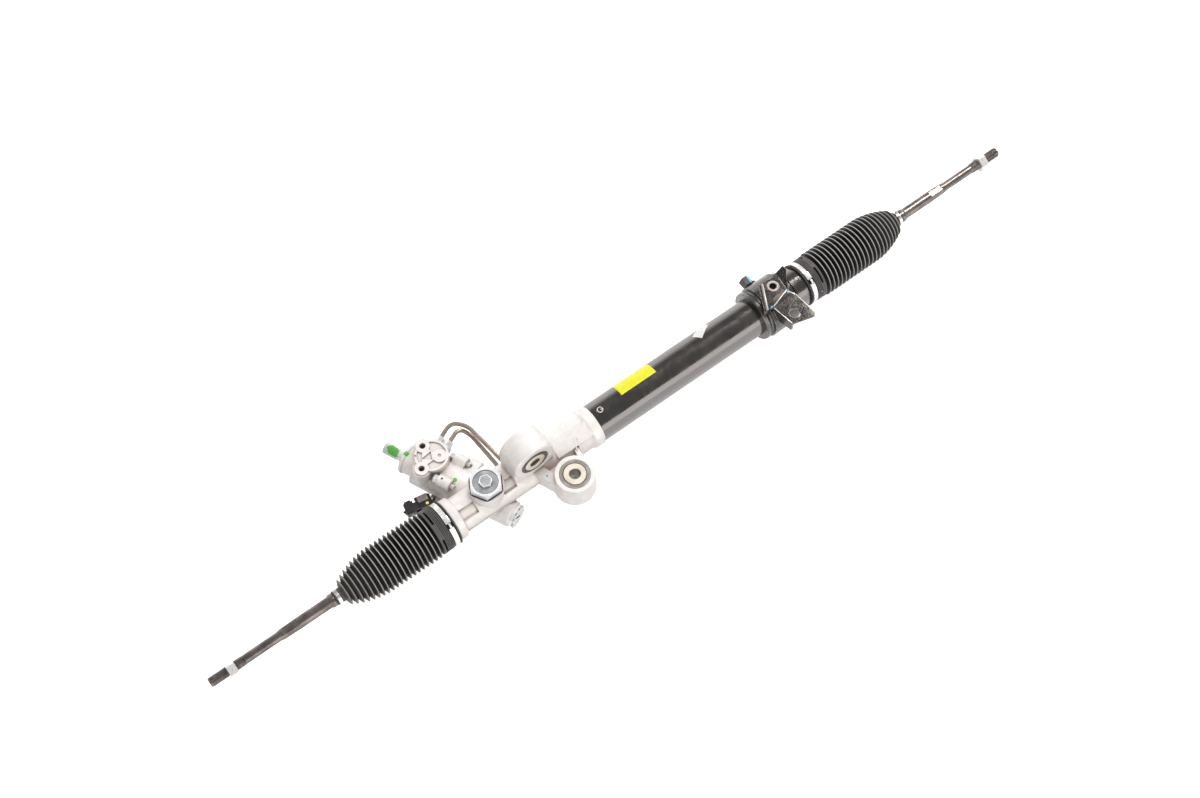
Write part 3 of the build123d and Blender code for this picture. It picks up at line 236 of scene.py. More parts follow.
# %% Cast grain
cast_grain, given, result = start_group(
    "cast_grain", {"Vector": "Vector"}, {"Height": "Float", "Tone": "Float"})
grain_place = given.outputs["Vector"]
sand = noise(cast_grain, grain_place, 1300, 5, Roughness=0.62)
flow = noise(cast_grain, grain_place, 95, 4, Roughness=0.55, Distortion=0.6)
cells = add_node(cast_grain, "TexVoronoi", {"Vector": grain_place, "Scale": 420})
pits = spread(cast_grain, cells.outputs["Distance"], 0.06, 0.16, -0.9, 0.0)
uneven = worked_out(cast_grain, "ADD", sand, flow)
cast_grain.links.new(worked_out(cast_grain, "ADD", uneven, pits), result.inputs["Height"])
cast_grain.links.new(flow, result.inputs["Tone"])
print("cast_grain has", len(cast_grain.nodes), "nodes")

# %% [markdown]
# ## Rounded, worn and highlit edges
# No real edge is sharp, and handling polishes it first. The Bevel node finds edges while the
# picture is made, so the CAD mesh keeps its few faces. Where its normal leans away from the
# face's own there is an edge, and that difference becomes the mask for wear, and in some finishes
# for a painted highlight along the edges.

# %% Rounded edges
rounded_edges, given, result = start_group(
    "rounded_edges", {"Radius": "Float", "Vector": "Vector"},
    {"Normal": "Vector", "Edge": "Float"})
rounding = add_node(rounded_edges, "Bevel", {"Radius": given.outputs["Radius"]}, samples=6)
facing_way = add_node(rounded_edges, "NewGeometry")
agreement = add_node(rounded_edges, "VectorMath", {0: rounding.outputs["Normal"],
                                                   1: facing_way.outputs["Normal"]},
                     operation="DOT_PRODUCT")
edge = spread(rounded_edges, agreement.outputs["Value"], 0.985, 0.86)
patchy = noise(rounded_edges, given.outputs["Vector"], 260, 4)
broken = spread(rounded_edges, patchy, 0.38, 0.62)
rounded_edges.links.new(rounding.outputs["Normal"], result.inputs["Normal"])
rounded_edges.links.new(worked_out(rounded_edges, "MULTIPLY", edge, broken), result.inputs["Edge"])
print("rounded_edges has", len(rounded_edges.nodes), "nodes")

# %% [markdown]
# ## Shade in the hollows
# Hollows and creases are darkened in the colour, a painted shade. The Ambient Occlusion node
# sees how shut in a point is, and a noise breaks its even edge.

# %% Hollows
hollow_shade, given, result = start_group("hollow_shade", {"Distance": "Float", "Vector": "Vector"},
                                     {"Mask": "Float"})
shut_in = add_node(hollow_shade, "AmbientOcclusion", {"Distance": given.outputs["Distance"]},
                   samples=6, only_local=False)
patches = noise(hollow_shade, given.outputs["Vector"], 150, 3)
shaded = spread(hollow_shade, shut_in.outputs["AO"], 0.95, 0.25)
softened = spread(hollow_shade, patches, 0.25, 0.7, 0.6, 1.0)
hollow_shade.links.new(worked_out(hollow_shade, "MULTIPLY", shaded, softened), result.inputs["Mask"])
print("hollows has", len(hollow_shade.nodes), "nodes")

# %% [markdown]
# ## Dabs of marking paint
# An inspector dabs paint on a joint once it is tightened. A dab is a small blot round a place,
# with an edge that a noise makes ragged. Multiplying the distance first, axis by axis, squeezes
# the blot into a stripe. The group gives its mask, so any finish can wear one.

# %% Paint dab
paint_dab, given, result = start_group(
    "paint_dab", {"Vector": "Vector", "Place": "Vector", "Squeeze": "Vector", "Radius": "Float"},
    {"Mask": "Float"})
away = add_node(paint_dab, "VectorMath", {0: given.outputs["Vector"], 1: given.outputs["Place"]},
                operation="SUBTRACT")
squeezed = add_node(paint_dab, "VectorMath", {0: away.outputs[0], 1: given.outputs["Squeeze"]},
                    operation="MULTIPLY")
far = add_node(paint_dab, "VectorMath", {0: squeezed.outputs[0]}, operation="LENGTH")
ragged = noise(paint_dab, given.outputs["Vector"], 420, 2)
reach = worked_out(paint_dab, "ADD", ragged, 0.55)
limit = worked_out(paint_dab, "MULTIPLY", reach, given.outputs["Radius"])
inside = worked_out(paint_dab, "LESS_THAN", far.outputs["Value"], limit)
paint_dab.links.new(inside, result.inputs["Mask"])
print("paint_dab has", len(paint_dab.nodes), "nodes")

# %% [markdown]
# ## Start and end of every finish
# All finishes begin alike: object coordinates, rounded edges, and a bump on top of them. They
# end alike too, in a colour, a roughness and a height for that bump. A number that is the same
# all over is set on the shader's own socket. Each finish is kept under its name.

# %% Start and end of a finish
finishes = {}


def use_group(tree, group, sockets):
    """A node group placed in a finish, with its sockets filled or linked."""
    return add_node(tree, "Group", sockets, node_tree=group)


def start_finish(name, edge_radius, bump_mm, **constants):
    """A new finish's tree, object coordinates and edge mask for wear and painted highlight, with
    its bump in place.
    """
    finishes[name] = bpy.data.materials.new(name)
    finishes[name].use_nodes = True
    tree = finishes[name].node_tree
    shader = tree.nodes["Principled BSDF"]
    for socket, value in constants.items():
        shader.inputs[socket.replace("_", " ").title().replace("Ior", "IOR")].default_value = value
    place = add_node(tree, "TexCoord").outputs["Object"]
    edges = use_group(tree, rounded_edges, {"Radius": edge_radius * MM, "Vector": place})
    bump = add_node(tree, "Bump", {"Distance": bump_mm * MM, "Normal": edges.outputs["Normal"]})
    tree.links.new(bump.outputs["Normal"], shader.inputs["Normal"])
    return tree, place, edges.outputs["Edge"]


def end_finish(name, colour, roughness, height):
    """The last links of a finish: its colour, its roughness and the height of its bump."""
    tree = finishes[name].node_tree
    shader = tree.nodes["Principled BSDF"]
    fill(tree, shader.inputs["Base Color"], colour)
    fill(tree, shader.inputs["Roughness"], roughness)
    fill(tree, tree.nodes["Bump"].inputs["Height"], height)
    print(name, "has", len(tree.nodes), "nodes")


print("a finish can be started and ended")


# %% Colours on one another
def mix_colour(tree, share, first, second):
    """The first colour turned into the second one by a share."""
    mix = add_node(tree, "Mix", {0: share}, data_type="RGBA")
    for index, colour in ((6, first), (7, second)):
        fill(tree, mix.inputs[index], (*colour, 1) if isinstance(colour, tuple) else colour)
    return mix.outputs[2]


def add_dabs(tree, place, skin, dabs):
    """Dabs of paint over a colour, each a (place, radius, squeeze, colour)."""
    for dab_place, radius, squeeze, colour in dabs:
        dab = use_group(tree, paint_dab, {"Vector": place, "Place": on_rack(*dab_place),
                                          "Squeeze": squeeze, "Radius": radius * MM})
        skin = mix_colour(tree, dab.outputs["Mask"], skin, colour)
    return skin


EVEN = (1, 1, 1)
GREEN_PAINT, BLUE_PAINT = (0.13, 0.50, 0.09), (0.07, 0.50, 0.78)
YELLOW_PAINT, PALE_BLUE_PAINT = (0.85, 0.72, 0.12), (0.25, 0.50, 0.85)
print("finish helpers ready")

# %% [markdown]
# ## Cast aluminium
# Both housings are die-cast and left bare. The skin is pale and dull, a little metallic, warmer
# and darker in the hollows and creases, a painted shade, and brighter on the edges where it has
# been tumbled. Green and blue dabs mark the joints that were checked. A dark dab and two brown
# dabs on the housing are painted shade.

# %% Cast aluminium
tree, place, edge = start_finish("cast_aluminium", 0.9, 0.16, metallic=0.16,
                                 specular_ior_level=0.5)
grain = use_group(tree, cast_grain, {"Vector": place})
shade = use_group(tree, hollow_shade, {"Vector": place, "Distance": 0.016})
crease = use_group(tree, hollow_shade, {"Vector": place, "Distance": 0.0035})
skin = mix_colour(tree, spread(tree, grain.outputs["Tone"], 0.3, 0.7), (0.90, 0.875, 0.855),
                  (0.79, 0.76, 0.735))
# painted shade: warm brown in the hollows, and darker brown lines in the creases
skin = mix_colour(tree, spread(tree, shade.outputs["Mask"], 0, 1, 0, 0.75), skin,
                  (0.42, 0.335, 0.28))
skin = mix_colour(tree, edge, skin, (0.95, 0.935, 0.92))
skin = mix_colour(tree, spread(tree, crease.outputs["Mask"], 0.15, 0.8, 0, 0.7), skin,
                  (0.27, 0.205, 0.165))
# DEEP_SHADE and BROWN_SHADE dabs are painted shade; the green and blue dabs are marking paint
DEEP_SHADE, BROWN_SHADE = (0.05, 0.04, 0.03), (0.30, 0.20, 0.13)
skin = add_dabs(tree, place, skin, [
    ((-274.8, 107.0, 0.5), 3.4, EVEN, GREEN_PAINT), ((-247.8, 38.6, 6.7), 2.7, EVEN, GREEN_PAINT),
    ((-156.9, -30.9, 21.0), 1.5, EVEN, BLUE_PAINT), ((-260.9, 47.0, 14.0), 1.4, EVEN, DEEP_SHADE),
    ((-254.6, 98.4, 8.0), 4.9, EVEN, BROWN_SHADE), ((-272.7, 73.1, 8.0), 4.9, EVEN, BROWN_SHADE)])
end_finish("cast_aluminium", skin, spread(tree, grain.outputs["Tone"], 0.3, 0.7, 0.42, 0.58),
           grain.outputs["Height"])

# %% [markdown]
# ## Black paint
# The tube is drawn steel under glossy black paint, and the bracket is pressed steel dipped in a
# thicker coat. Paint flows before it dries, so its bump is a slow orange peel. Fine dust shows
# as paler specks, and the paint has rubbed thin on the bracket's edges; their lightening is also
# a painted highlight along them. A brown dab along the bracket's fold is a painted highlight.

# %% Black paint
def black_paint(name, edge_radius, peel_mm, peel_size, edge_wear_and_highlight, speck_size, speck_share, gloss,
                dabs=()):
    """Glossy black paint with orange peel, specks, and edges lightened for wear and as a painted
    highlight.
    """
    tree, place, edge = start_finish(name, edge_radius, peel_mm, metallic=0.0,
                                     specular_ior_level=0.5, ior=gloss)
    peel = noise(tree, place, peel_size, 2, Roughness=0.4)
    specks = noise(tree, place, speck_size, 3)
    smears = noise(tree, place, 42, 5, Distortion=1.2)
    paint = mix_colour(tree, spread(tree, smears, 0.4, 0.7), (0.009, 0.008, 0.0075),
                       (0.021, 0.018, 0.014))
    paint = mix_colour(tree, spread(tree, specks, 0.56, 0.70, 0, speck_share), paint,
                       (0.22, 0.18, 0.145))
    # edges lightened: paint rubbed thin, and a painted highlight along them
    paint = mix_colour(tree, spread(tree, edge, 0, 1, 0, edge_wear_and_highlight), paint, (0.80, 0.77, 0.74))
    end_finish(name, add_dabs(tree, place, paint, dabs),
               spread(tree, smears, 0.35, 0.7, 0.12, 0.24), peel)


# FOLD_GLINT is a painted highlight along the bracket's fold; RUBBED_TIP is real wear on its ear
FOLD_GLINT, RUBBED_TIP = (0.15, 0.115, 0.085), (0.24, 0.20, 0.17)
black_paint("tube_paint", edge_radius=0.4, peel_mm=0.05, peel_size=260, edge_wear_and_highlight=0.12,
            speck_size=420, speck_share=0.05, gloss=2.1)
black_paint("bracket_paint", edge_radius=1.0, peel_mm=0.12, peel_size=230, edge_wear_and_highlight=0.9,
            speck_size=560, speck_share=0.7, gloss=1.65, dabs=[
                ((226.0, -12.6, 38.0), 2.6, (0.24, 1, 0.5), FOLD_GLINT),
                ((246.6, -54.6, 36.5), 4.6, (1, 1, 0.5), RUBBED_TIP),
                ((207.6, -19.7, 38.0), 2.2, EVEN, BLUE_PAINT),
                ((240.2, -13.8, 37.5), 2.2, EVEN, BLUE_PAINT)])

# %% [markdown]
# ## Rubber
# Bellows, bushes and seals are black rubber with carbon in it. New rubber isn't quite black: it
# has a dull bloom and catches light on its rims. The bellows also carry a value of their own,
# one on each crest and nothing in each valley, so that only the crests are made pale, a painted
# highlight along each crest. Beside the clamp, on the flat first fold and on its pads the value is
# minus one, and there the rubber is dusty.

# %% Rubber
def rubber(name, colour, roughness, grain_mm, gloss=0.42):
    """Dull black rubber with a fine matt grain and a pale bloom."""
    tree, place, edge = start_finish(name, 0.35, grain_mm, metallic=0.0,
                                     specular_ior_level=gloss)
    bloom = noise(tree, place, 60, 5)
    skin = mix_colour(tree, spread(tree, bloom, 0.45, 0.75, 0, 0.6), colour,
                      tuple(2.4 * part for part in colour))
    skin = mix_colour(tree, spread(tree, edge, 0, 1, 0, 0.5), skin, (0.09, 0.088, 0.085))
    end_finish(name, skin, spread(tree, bloom, 0.3, 0.7, roughness, roughness + 0.14),
               noise(tree, place, 1900, 4))
    return tree, place, skin


rubber("seal_rubber", (0.016, 0.015, 0.015), 0.45, 0.03)
rubber("bush_rubber", (0.10, 0.092, 0.086), 0.50, 0.05)
rubber("bush_face", (0.33, 0.305, 0.285), 0.50, 0.05)
rubber("isolator_rubber", (0.020, 0.019, 0.018), 0.16, 0.05, 1.0)

# %% Bellows rubber
tree, place, skin = rubber("boot_rubber", (0.0065, 0.006, 0.006), 0.46, 0.025, 0.3)
crest = add_node(tree, "Attribute", attribute_name="crest").outputs["Fac"]
# painted highlight: pale crests, as if light ran along each fold
skin = mix_colour(tree, spread(tree, crest, 0.80, 0.98, 0, 0.95), skin, (0.56, 0.55, 0.54))
skin = mix_colour(tree, spread(tree, crest, -0.2, -1.0), skin, (0.095, 0.091, 0.089))
centred = add_node(tree, "Mapping", {"Vector": place, "Location": -RACK_MIDDLE})
along = add_node(tree, "SeparateXYZ", {"Vector": centred.outputs[0]}).outputs["X"]
from_middle = add_node(tree, "Math", {0: along}, operation="ABSOLUTE").outputs[0]
skin = mix_colour(tree, spread(tree, from_middle, 0.375, 0.440, 0, 0.5), skin,
                  (0.15, 0.138, 0.13))
skin = add_dabs(tree, place, skin, [((288.4, -28.6, 8.2), 1.4, EVEN, PALE_BLUE_PAINT)])
tree.links.new(skin, tree.nodes["Principled BSDF"].inputs["Base Color"])
print("boot_rubber now has", len(tree.nodes), "nodes")

# %% [markdown]
# ## Steels
# Most fasteners are zinc plated, the rods and shafts are dark or ground steel, and the pressure
# lines are brown-grey. They differ in colour, roughness and grain, so one helper makes them all:
# a streak noise, stretched along the rack where the metal was drawn, breaks up each gleam.

# %% Steel
def steel(name, light, dark, roughness, metallic, stretch=(1, 1, 1), size=300, edge_radius=0.35,
          bump_mm=0.02, wear=(0.75, 0.74, 0.72), painted_shade_share=0.35, reach_mm=6, dabs=()):
    """A plated or drawn steel between a light and a dark tone."""
    tree, place, edge = start_finish(name, edge_radius, bump_mm, metallic=metallic,
                                     specular_ior_level=0.5)
    along = add_node(tree, "Mapping", {"Vector": place, "Scale": stretch})
    streak = noise(tree, along.outputs[0], size, 6, Roughness=0.6)
    cloud = noise(tree, place, 70, 3)
    shade = use_group(tree, hollow_shade, {"Vector": place, "Distance": reach_mm * MM})
    metal = mix_colour(tree, spread(tree, cloud, 0.35, 0.65), light, dark)
    metal = mix_colour(tree, spread(tree, streak, 0.5, 0.75, 0, 0.45), metal,
                       tuple(0.55 * part for part in dark))
    # painted shade: hollows darkened brown by a share set for each steel
    metal = mix_colour(tree, spread(tree, shade.outputs["Mask"], 0, 1, 0, painted_shade_share), metal,
                       (0.10, 0.085, 0.07))
    metal = mix_colour(tree, edge, metal, wear)
    end_finish(name, add_dabs(tree, place, metal, dabs),
               spread(tree, streak, 0.3, 0.7, roughness - 0.06, roughness + 0.1), streak)


print("steel helper ready")

# %% Kinds of steel
steel("zinc_steel", (0.95, 0.945, 0.935), (0.78, 0.78, 0.78), 0.28, 0.4, painted_shade_share=0.7)
steel("nut_steel", (0.97, 0.975, 0.98), (0.84, 0.86, 0.88), 0.30, 0.28, wear=(1.0, 1.0, 1.0),
      painted_shade_share=0.8)
steel("plug_steel", (0.60, 0.62, 0.64), (0.33, 0.35, 0.37), 0.32, 0.4, size=420, bump_mm=0.2,
      wear=(0.95, 0.96, 0.98), painted_shade_share=0.7)
# the deep reach paints shade into the bush sleeves' bores
steel("sleeve_steel", (0.86, 0.79, 0.69), (0.72, 0.64, 0.53), 0.36, 0.3, wear=(0.95, 0.92, 0.86),
      painted_shade_share=1.0, reach_mm=26)
steel("rack_steel", (0.72, 0.70, 0.67), (0.58, 0.56, 0.53), 0.24, 1.0)
steel("shaft_steel", (0.88, 0.87, 0.85), (0.76, 0.75, 0.73), 0.30, 0.2,
      dabs=[((-283.6, 125.8, -10.5), 6.5, (1, 0.75, 1), GREEN_PAINT)])
steel("rod_steel", (0.21, 0.185, 0.172), (0.10, 0.088, 0.083), 0.28, 0.6, stretch=(0.06, 1, 1),
      size=700, wear=(0.55, 0.50, 0.46), painted_shade_share=0.2)
steel("line_steel", (0.44, 0.375, 0.32), (0.31, 0.26, 0.21), 0.30, 0.5, wear=(0.55, 0.50, 0.44))
steel("bolt_steel", (0.10, 0.09, 0.085), (0.06, 0.055, 0.05), 0.32, 0.7, wear=(0.60, 0.57, 0.54),
      dabs=[((225.0, 42.0, 8.0), 1.5, (1, 0.15, 1), BLUE_PAINT)])
steel("spring_steel", (0.30, 0.29, 0.28), (0.2, 0.2, 0.2), 0.35, 0.9)

# %% [markdown]
# ## Plastics
# The connector is black glass-filled nylon, and bearings and rings are tan or white plastic
# inside the housing. Moulded plastic has a satin skin with a very fine texture, and its edges
# are lightened as a painted highlight.

# %% Plastics
def plastic(name, colour, roughness, dabs=()):
    """Moulded plastic with a fine satin texture."""
    tree, place, edge = start_finish(name, 0.3, 0.02, metallic=0.0, specular_ior_level=0.5)
    slow = noise(tree, place, 120, 3)
    skin = mix_colour(tree, spread(tree, slow, 0.4, 0.7), colour,
                      tuple(1.5 * part for part in colour))
    # painted highlight: edges lightened
    skin = mix_colour(tree, spread(tree, edge, 0, 1, 0, 0.6), skin,
                      tuple(min(1.0, part + 0.25) for part in colour))
    end_finish(name, add_dabs(tree, place, skin, dabs),
               spread(tree, slow, 0.3, 0.7, roughness, roughness + 0.1),
               noise(tree, place, 1500, 3))


plastic("connector_plastic", (0.016, 0.015, 0.015), 0.38,
        [((-289.6, 40.7, -10.0), 1.9, EVEN, YELLOW_PAINT)])
plastic("bearing_plastic", (0.42, 0.33, 0.20), 0.45)
plastic("ring_plastic", (0.45, 0.44, 0.42), 0.42)

# %% [markdown]
# ## Dressing the CAD nodes
# The record names a material slot for each node, and most finishes carry the same names, so
# dressing is one loop. Four nodes differ from the others in their slot and get a finish of their
# own: the yoke plug is rough where the nut is bright, the input shaft is paler than the rack, and
# the two bush sleeves are yellowish.

# %% Dress the nodes
node_slots = {part["node"]: part["material_slot"] for part in frame["record"]["subparts"]}
own_finish = {"yoke_plug": "plug_steel", "lower_bush_sleeve": "sleeve_steel",
              "upper_bush_sleeve": "sleeve_steel", "input_shaft": "shaft_steel"}
for name, node in nodes.items():
    node.data.materials.clear()
    node.data.materials.append(finishes[own_finish.get(name, node_slots[name])])
print(len(nodes), "nodes dressed with", len(finishes), "finishes")

# %% [markdown]
# ## Turned shapes
# Most of a steering rack is round, so most new pieces are a closed outline spun round a line,
# all the way or in part. The outline is drawn in millimetres round the rack's own line, and a
# turn and a shift take it elsewhere. The finished piece keeps its place in the mesh, as the CAD
# nodes have theirs. Angles are degrees from the top, towards the lower mounting lug.

# %% Helpers for turned shapes
def outlined(outline):
    """A new shape with a closed outline of (along, radius) points, and that outline."""
    shape = bmesh.new()
    points = [shape.verts.new((along, 0, radius)) for along, radius in outline]
    sides = [shape.edges.new(pair) for pair in zip(points, points[1:] + points[:1])]
    return shape, points + sides


def close_holes(shape):
    """A face over every open rim of a shape."""
    bmesh.ops.holes_fill(shape, edges=[edge for edge in shape.edges if edge.is_boundary])


def turned(shape, degrees, axis):
    """A shape turned round an axis through its own origin."""
    bmesh.ops.rotate(shape, cent=(0, 0, 0), matrix=Matrix.Rotation(math.radians(degrees), 3, axis),
                     verts=shape.verts)
    return shape


def spun(outline, steps=96, start=0.0, turn=360.0):
    """A closed outline of (along, radius) points spun round the rack's line from an angle."""
    shape, section = outlined(outline)
    bmesh.ops.spin(shape, geom=section, cent=(0, 0, 0), axis=(1, 0, 0), angle=math.radians(turn),
                   steps=steps, use_merge=turn == 360)
    close_holes(shape)
    bmesh.ops.remove_doubles(shape, verts=shape.verts, dist=0.001)
    turned(shape, start, "X")
    bmesh.ops.recalc_face_normals(shape, faces=shape.faces)
    return shape


print("helpers for turned shapes ready")


# %% Helpers to join, stand and keep shapes
SHARP_FROM = math.radians(32)


def joined(*shapes):
    """Several shapes as one."""
    carrier = bpy.data.meshes.new("carrier")
    for other in shapes[1:]:
        other.to_mesh(carrier)
        other.free()
        shapes[0].from_mesh(carrier)
    bpy.data.meshes.remove(carrier)
    return shapes[0]


def stood(shape, towards, place):
    """A shape made along the rack, turned to stand along another way, at a place."""
    turn = Vector((1, 0, 0)).rotation_difference(Vector(towards)).to_matrix()
    bmesh.ops.rotate(shape, cent=(0, 0, 0), matrix=turn, verts=shape.verts)
    bmesh.ops.translate(shape, vec=place, verts=shape.verts)
    return shape


def settle(shape, name, finish):
    """The shape as an object of its own, moved from rack millimetres into the frame."""
    bmesh.ops.scale(shape, vec=(MM, MM, MM), verts=shape.verts)
    bmesh.ops.translate(shape, vec=RACK_MIDDLE, verts=shape.verts)
    mesh = bpy.data.meshes.new(name)
    shape.to_mesh(mesh)
    shape.free()
    mesh.shade_smooth()
    mesh.set_sharp_from_angle(angle=SHARP_FROM)
    mesh.materials.append(finishes[finish])
    piece = bpy.data.objects.new(name, mesh)
    bpy.context.scene.collection.objects.link(piece)
    print(name, "has", len(mesh.polygons), "faces")
    return piece


print("helpers for whole pieces ready")

# %% [markdown] ## Bellows The bellows keep grit off the inner ball joints. One end is clamped to
# the housing and the other to the tie rod, so each one stretches as the rack slides and swings as
# the rod does. Every fold is the same twelve points, drawn in towards the rod by a curve. The
# first one has a flat top, and pads bridge the groove before it, so that it shows as four long
# slots.

# %% Folds
BOOT_RADIUS, FOLD_DEPTH, BOOT_WALL = 32.0, 5.6, 1.3
TAPER_START, TAPER_LENGTH, TAPER_DEPTH = 385, 57, 17
FLAT_FOLD = [(0.0, 0.0, 0.0), (0.10, 0.05, 0.0), (0.20, 0.30, 0.0), (0.24, 0.66, -1.0),
             (0.30, 0.72, -1.0), (0.42, 0.74, -1.0), (0.54, 0.74, -1.0), (0.64, 0.72, -1.0),
             (0.69, 0.66, -1.0), (0.76, 0.40, 0.0), (0.86, 0.12, 0.0), (0.94, 0.03, 0.0)]
FOLD = [(0.0, 0.0), (0.07, 0.05), (0.18, 0.32), (0.30, 0.64), (0.40, 0.89), (0.455, 0.975),
        (0.5, 1.0), (0.545, 0.975), (0.60, 0.89), (0.70, 0.64), (0.82, 0.32), (0.93, 0.05)]


def crest_radius(along):
    """Radius over the crests: straight, then drawn in towards the rod."""
    return BOOT_RADIUS - TAPER_DEPTH * max(0, (along - TAPER_START) / TAPER_LENGTH) ** 2


def valley_wall(along):
    """Radius of the bellows' inner wall, just under its valleys."""
    return crest_radius(along) - FOLD_DEPTH - BOOT_WALL


def folded(first, pitch, count):
    """The outline over a run of folds as (along, radius, crest value)."""
    run = [(first + part * pitch, BOOT_RADIUS - FOLD_DEPTH * (1 - height), value)
           for part, height, value in FLAT_FOLD]
    for fold in range(1, count):
        top = crest_radius(first + (fold + 0.5) * pitch)
        run += [(first + (fold + part) * pitch, top - FOLD_DEPTH * (1 - height), height)
                for part, height in FOLD]
    return run


print("radius over the crests:", BOOT_RADIUS, "down to", round(crest_radius(440), 1), "mm")


# %% A stretch of bellows
INNER_STRIDE, THIN_SKIN = 4, 0.4


def boot_piece(name, side, outer, inner_radius, pads=()):
    """A stretch of bellows between two valleys, with a smooth wall inside and its pads."""
    back = [along for along, _, _ in outer[::-INNER_STRIDE]]
    back[-1] = outer[0][0]
    loop = [(along, radius) for along, radius, _ in outer]
    loop += [(along, inner_radius(along)) for along in back]
    shape = joined(spun([(side * along, radius) for along, radius in loop]),
                   *(spun([(side * along, radius) for along, radius in outline], 24, start, turn)
                     for outline, start, turn in pads))
    height_of = {round(along, 3): value for along, _, value in outer}
    height_of |= {round(along, 3): -1.0 for outline, *_ in pads for along, _ in outline}
    values = []
    for vertex in shape.verts:
        radius = math.hypot(vertex.co.y, vertex.co.z)
        along = abs(vertex.co.x)
        outside = radius > inner_radius(along) + THIN_SKIN
        values.append(height_of.get(round(along, 3), 0.0) if outside else 0.0)
    piece = settle(shape, name, "boot_rubber")
    marks = piece.data.attributes.new("crest", "FLOAT", "POINT")
    marks.data.foreach_set("value", values)
    return piece


print("bellows helper ready")

# %% Both bellows
CUFF_BORE, NOSE_BORE = 26.9, 7.6
# each side's sign, case end, first fold, boot end, number of folds, first pad's angle, and the
# folds at which it is cut
boot_sides = {"left": (-1, 284.4, 306.8, 442.0, 21, 7, (14, 17)),
              "right": (1, 272.5, 292.8, 440.0, 22, 52, (16, 18))}
boot_joins = {}
for name, (side, case_end, first_fold, boot_end, count, pad_start, cuts) in boot_sides.items():
    pitch = (boot_end - 2 - first_fold) / count
    folds = folded(first_fold, pitch, count)
    first_cut, second_cut = (len(FOLD) * cut for cut in cuts)
    cuff = [(case_end + 0.3, 30.4, -1), (case_end + 1.4, 30.4, -1), (case_end + 1.8, 29.0, 0),
            (case_end + 11, 29.0, 0), (case_end + 11.4, 29.9, -1)]
    groove = case_end + 12.6
    while groove < first_fold - 2.6:
        cuff += [(groove, 30.2, -1), (groove + 0.15, 29.5, 0), (groove + 0.6, 29.5, 0),
                 (groove + 0.75, 30.2, -1)]
        groove += 2.1
    cuff += [(first_fold - 1.4, 30.4, -1), (first_fold - 1.1, 30.0, 0)]
    bridge = [(first_fold - 1.5, 26.6), (first_fold - 1.5, 30.3), (first_fold + 0.2, 30.4),
              (first_fold + 1.9, 30.3), (first_fold + 1.9, 26.6)]
    pads = [(bridge, pad_start + quarter, 43) for quarter in (0, 90, 180, 270)]
    collar = [(boot_end - 1.6, crest_radius(boot_end) - FOLD_DEPTH, 0.0), (boot_end, 9.4, 0.2),
              (boot_end + 1.6, 9.4, 0.3), (boot_end + 2.2, 9.1, 0.0), (boot_end + 7.2, 9.1, 0.0),
              (boot_end + 7.8, 9.5, 0.4), (boot_end + 9, 9.3, 0.4)]
    over = cuff + folds[:first_cut + 1]
    middle = folds[first_cut:second_cut + 1]
    under = folds[second_cut:] + collar
    housing_part = boot_piece(f"{name}_boot_folds", side, over,
                              lambda along: min(valley_wall(along), CUFF_BORE), pads)
    seat_part = boot_piece(f"{name}_boot_middle", side, middle, valley_wall)
    rod_part = boot_piece(f"{name}_boot_nose", side, under,
                          lambda along: max(valley_wall(along), NOSE_BORE))
    start, first, second = side * (case_end + 4), side * middle[0][0], side * middle[-1][0]
    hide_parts(f"{name}_bellows")
    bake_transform(housing_part)
    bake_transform(seat_part)
    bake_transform(rod_part)
    boot_joins[name] = (round(first, 1), round(second, 1))
print("bellows cut at", boot_joins)

# %% [markdown]
# ## Band clamps
# A band clamp is a strip of plated steel with rolled edges. Its ends overlap in a wider buckle,
# and beside the buckle the strip rises into an ear that is pinched to draw it tight. The strip is
# spun nearly all round, the buckle through a few degrees, and the ear is half a turn of a much
# smaller ring that bridges the gap.

# %% Band clamps
GAP_START, GAP_END, BUCKLE_START = 24, 37, 6
EAR_RING, EAR_SEAT = 3.2, 29.3
ear_lean = (GAP_START + GAP_END) / 2
for name, (side, case_end, *_) in boot_sides.items():
    near = case_end + 3.2
    band = [(0, 29.05), (0, 29.7), (0.5, 30.0), (1.1, 29.75), (5.5, 29.75), (6.1, 30.0),
            (6.6, 29.7), (6.6, 29.05)]
    buckle = [(-0.3, 29.6), (-0.3, 31.0), (0.2, 31.3), (6.4, 31.3), (6.9, 31.0), (6.9, 29.6)]
    ear_wall = [(2.0, EAR_RING - 0.8), (2.0, EAR_RING), (4.6, EAR_RING), (4.6, EAR_RING - 0.8)]
    strip_line, buckle_line, ear_line = [
        [(side * (near + along), radius) for along, radius in outline]
        for outline in (band, buckle, ear_wall)]
    ear = spun(ear_line, 24, ear_lean - 90, 180)
    bmesh.ops.translate(ear, vec=(0, -EAR_SEAT * math.sin(math.radians(ear_lean)),
                                  EAR_SEAT * math.cos(math.radians(ear_lean))),
                        verts=ear.verts)
    strip = spun(strip_line, 110, GAP_END, 360 - GAP_END + GAP_START)
    lap = spun(buckle_line, 20, BUCKLE_START, GAP_START - BUCKLE_START)
    clamp = settle(joined(strip, lap, ear), f"{name}_band_clamp", "zinc_steel")
    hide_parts(f"{name}_big_clamp")
    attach(clamp, "housing")

# %% [markdown]
# ## Tie rods with real threads
# The CAD rods are plain where they are threaded. Here each rod is spun again with the thread's
# core, and the ridge is wound on by a spin that also moves along by one pitch a turn. The flats
# for a spanner are pressed in by holding the vertices of one stretch between two planes.

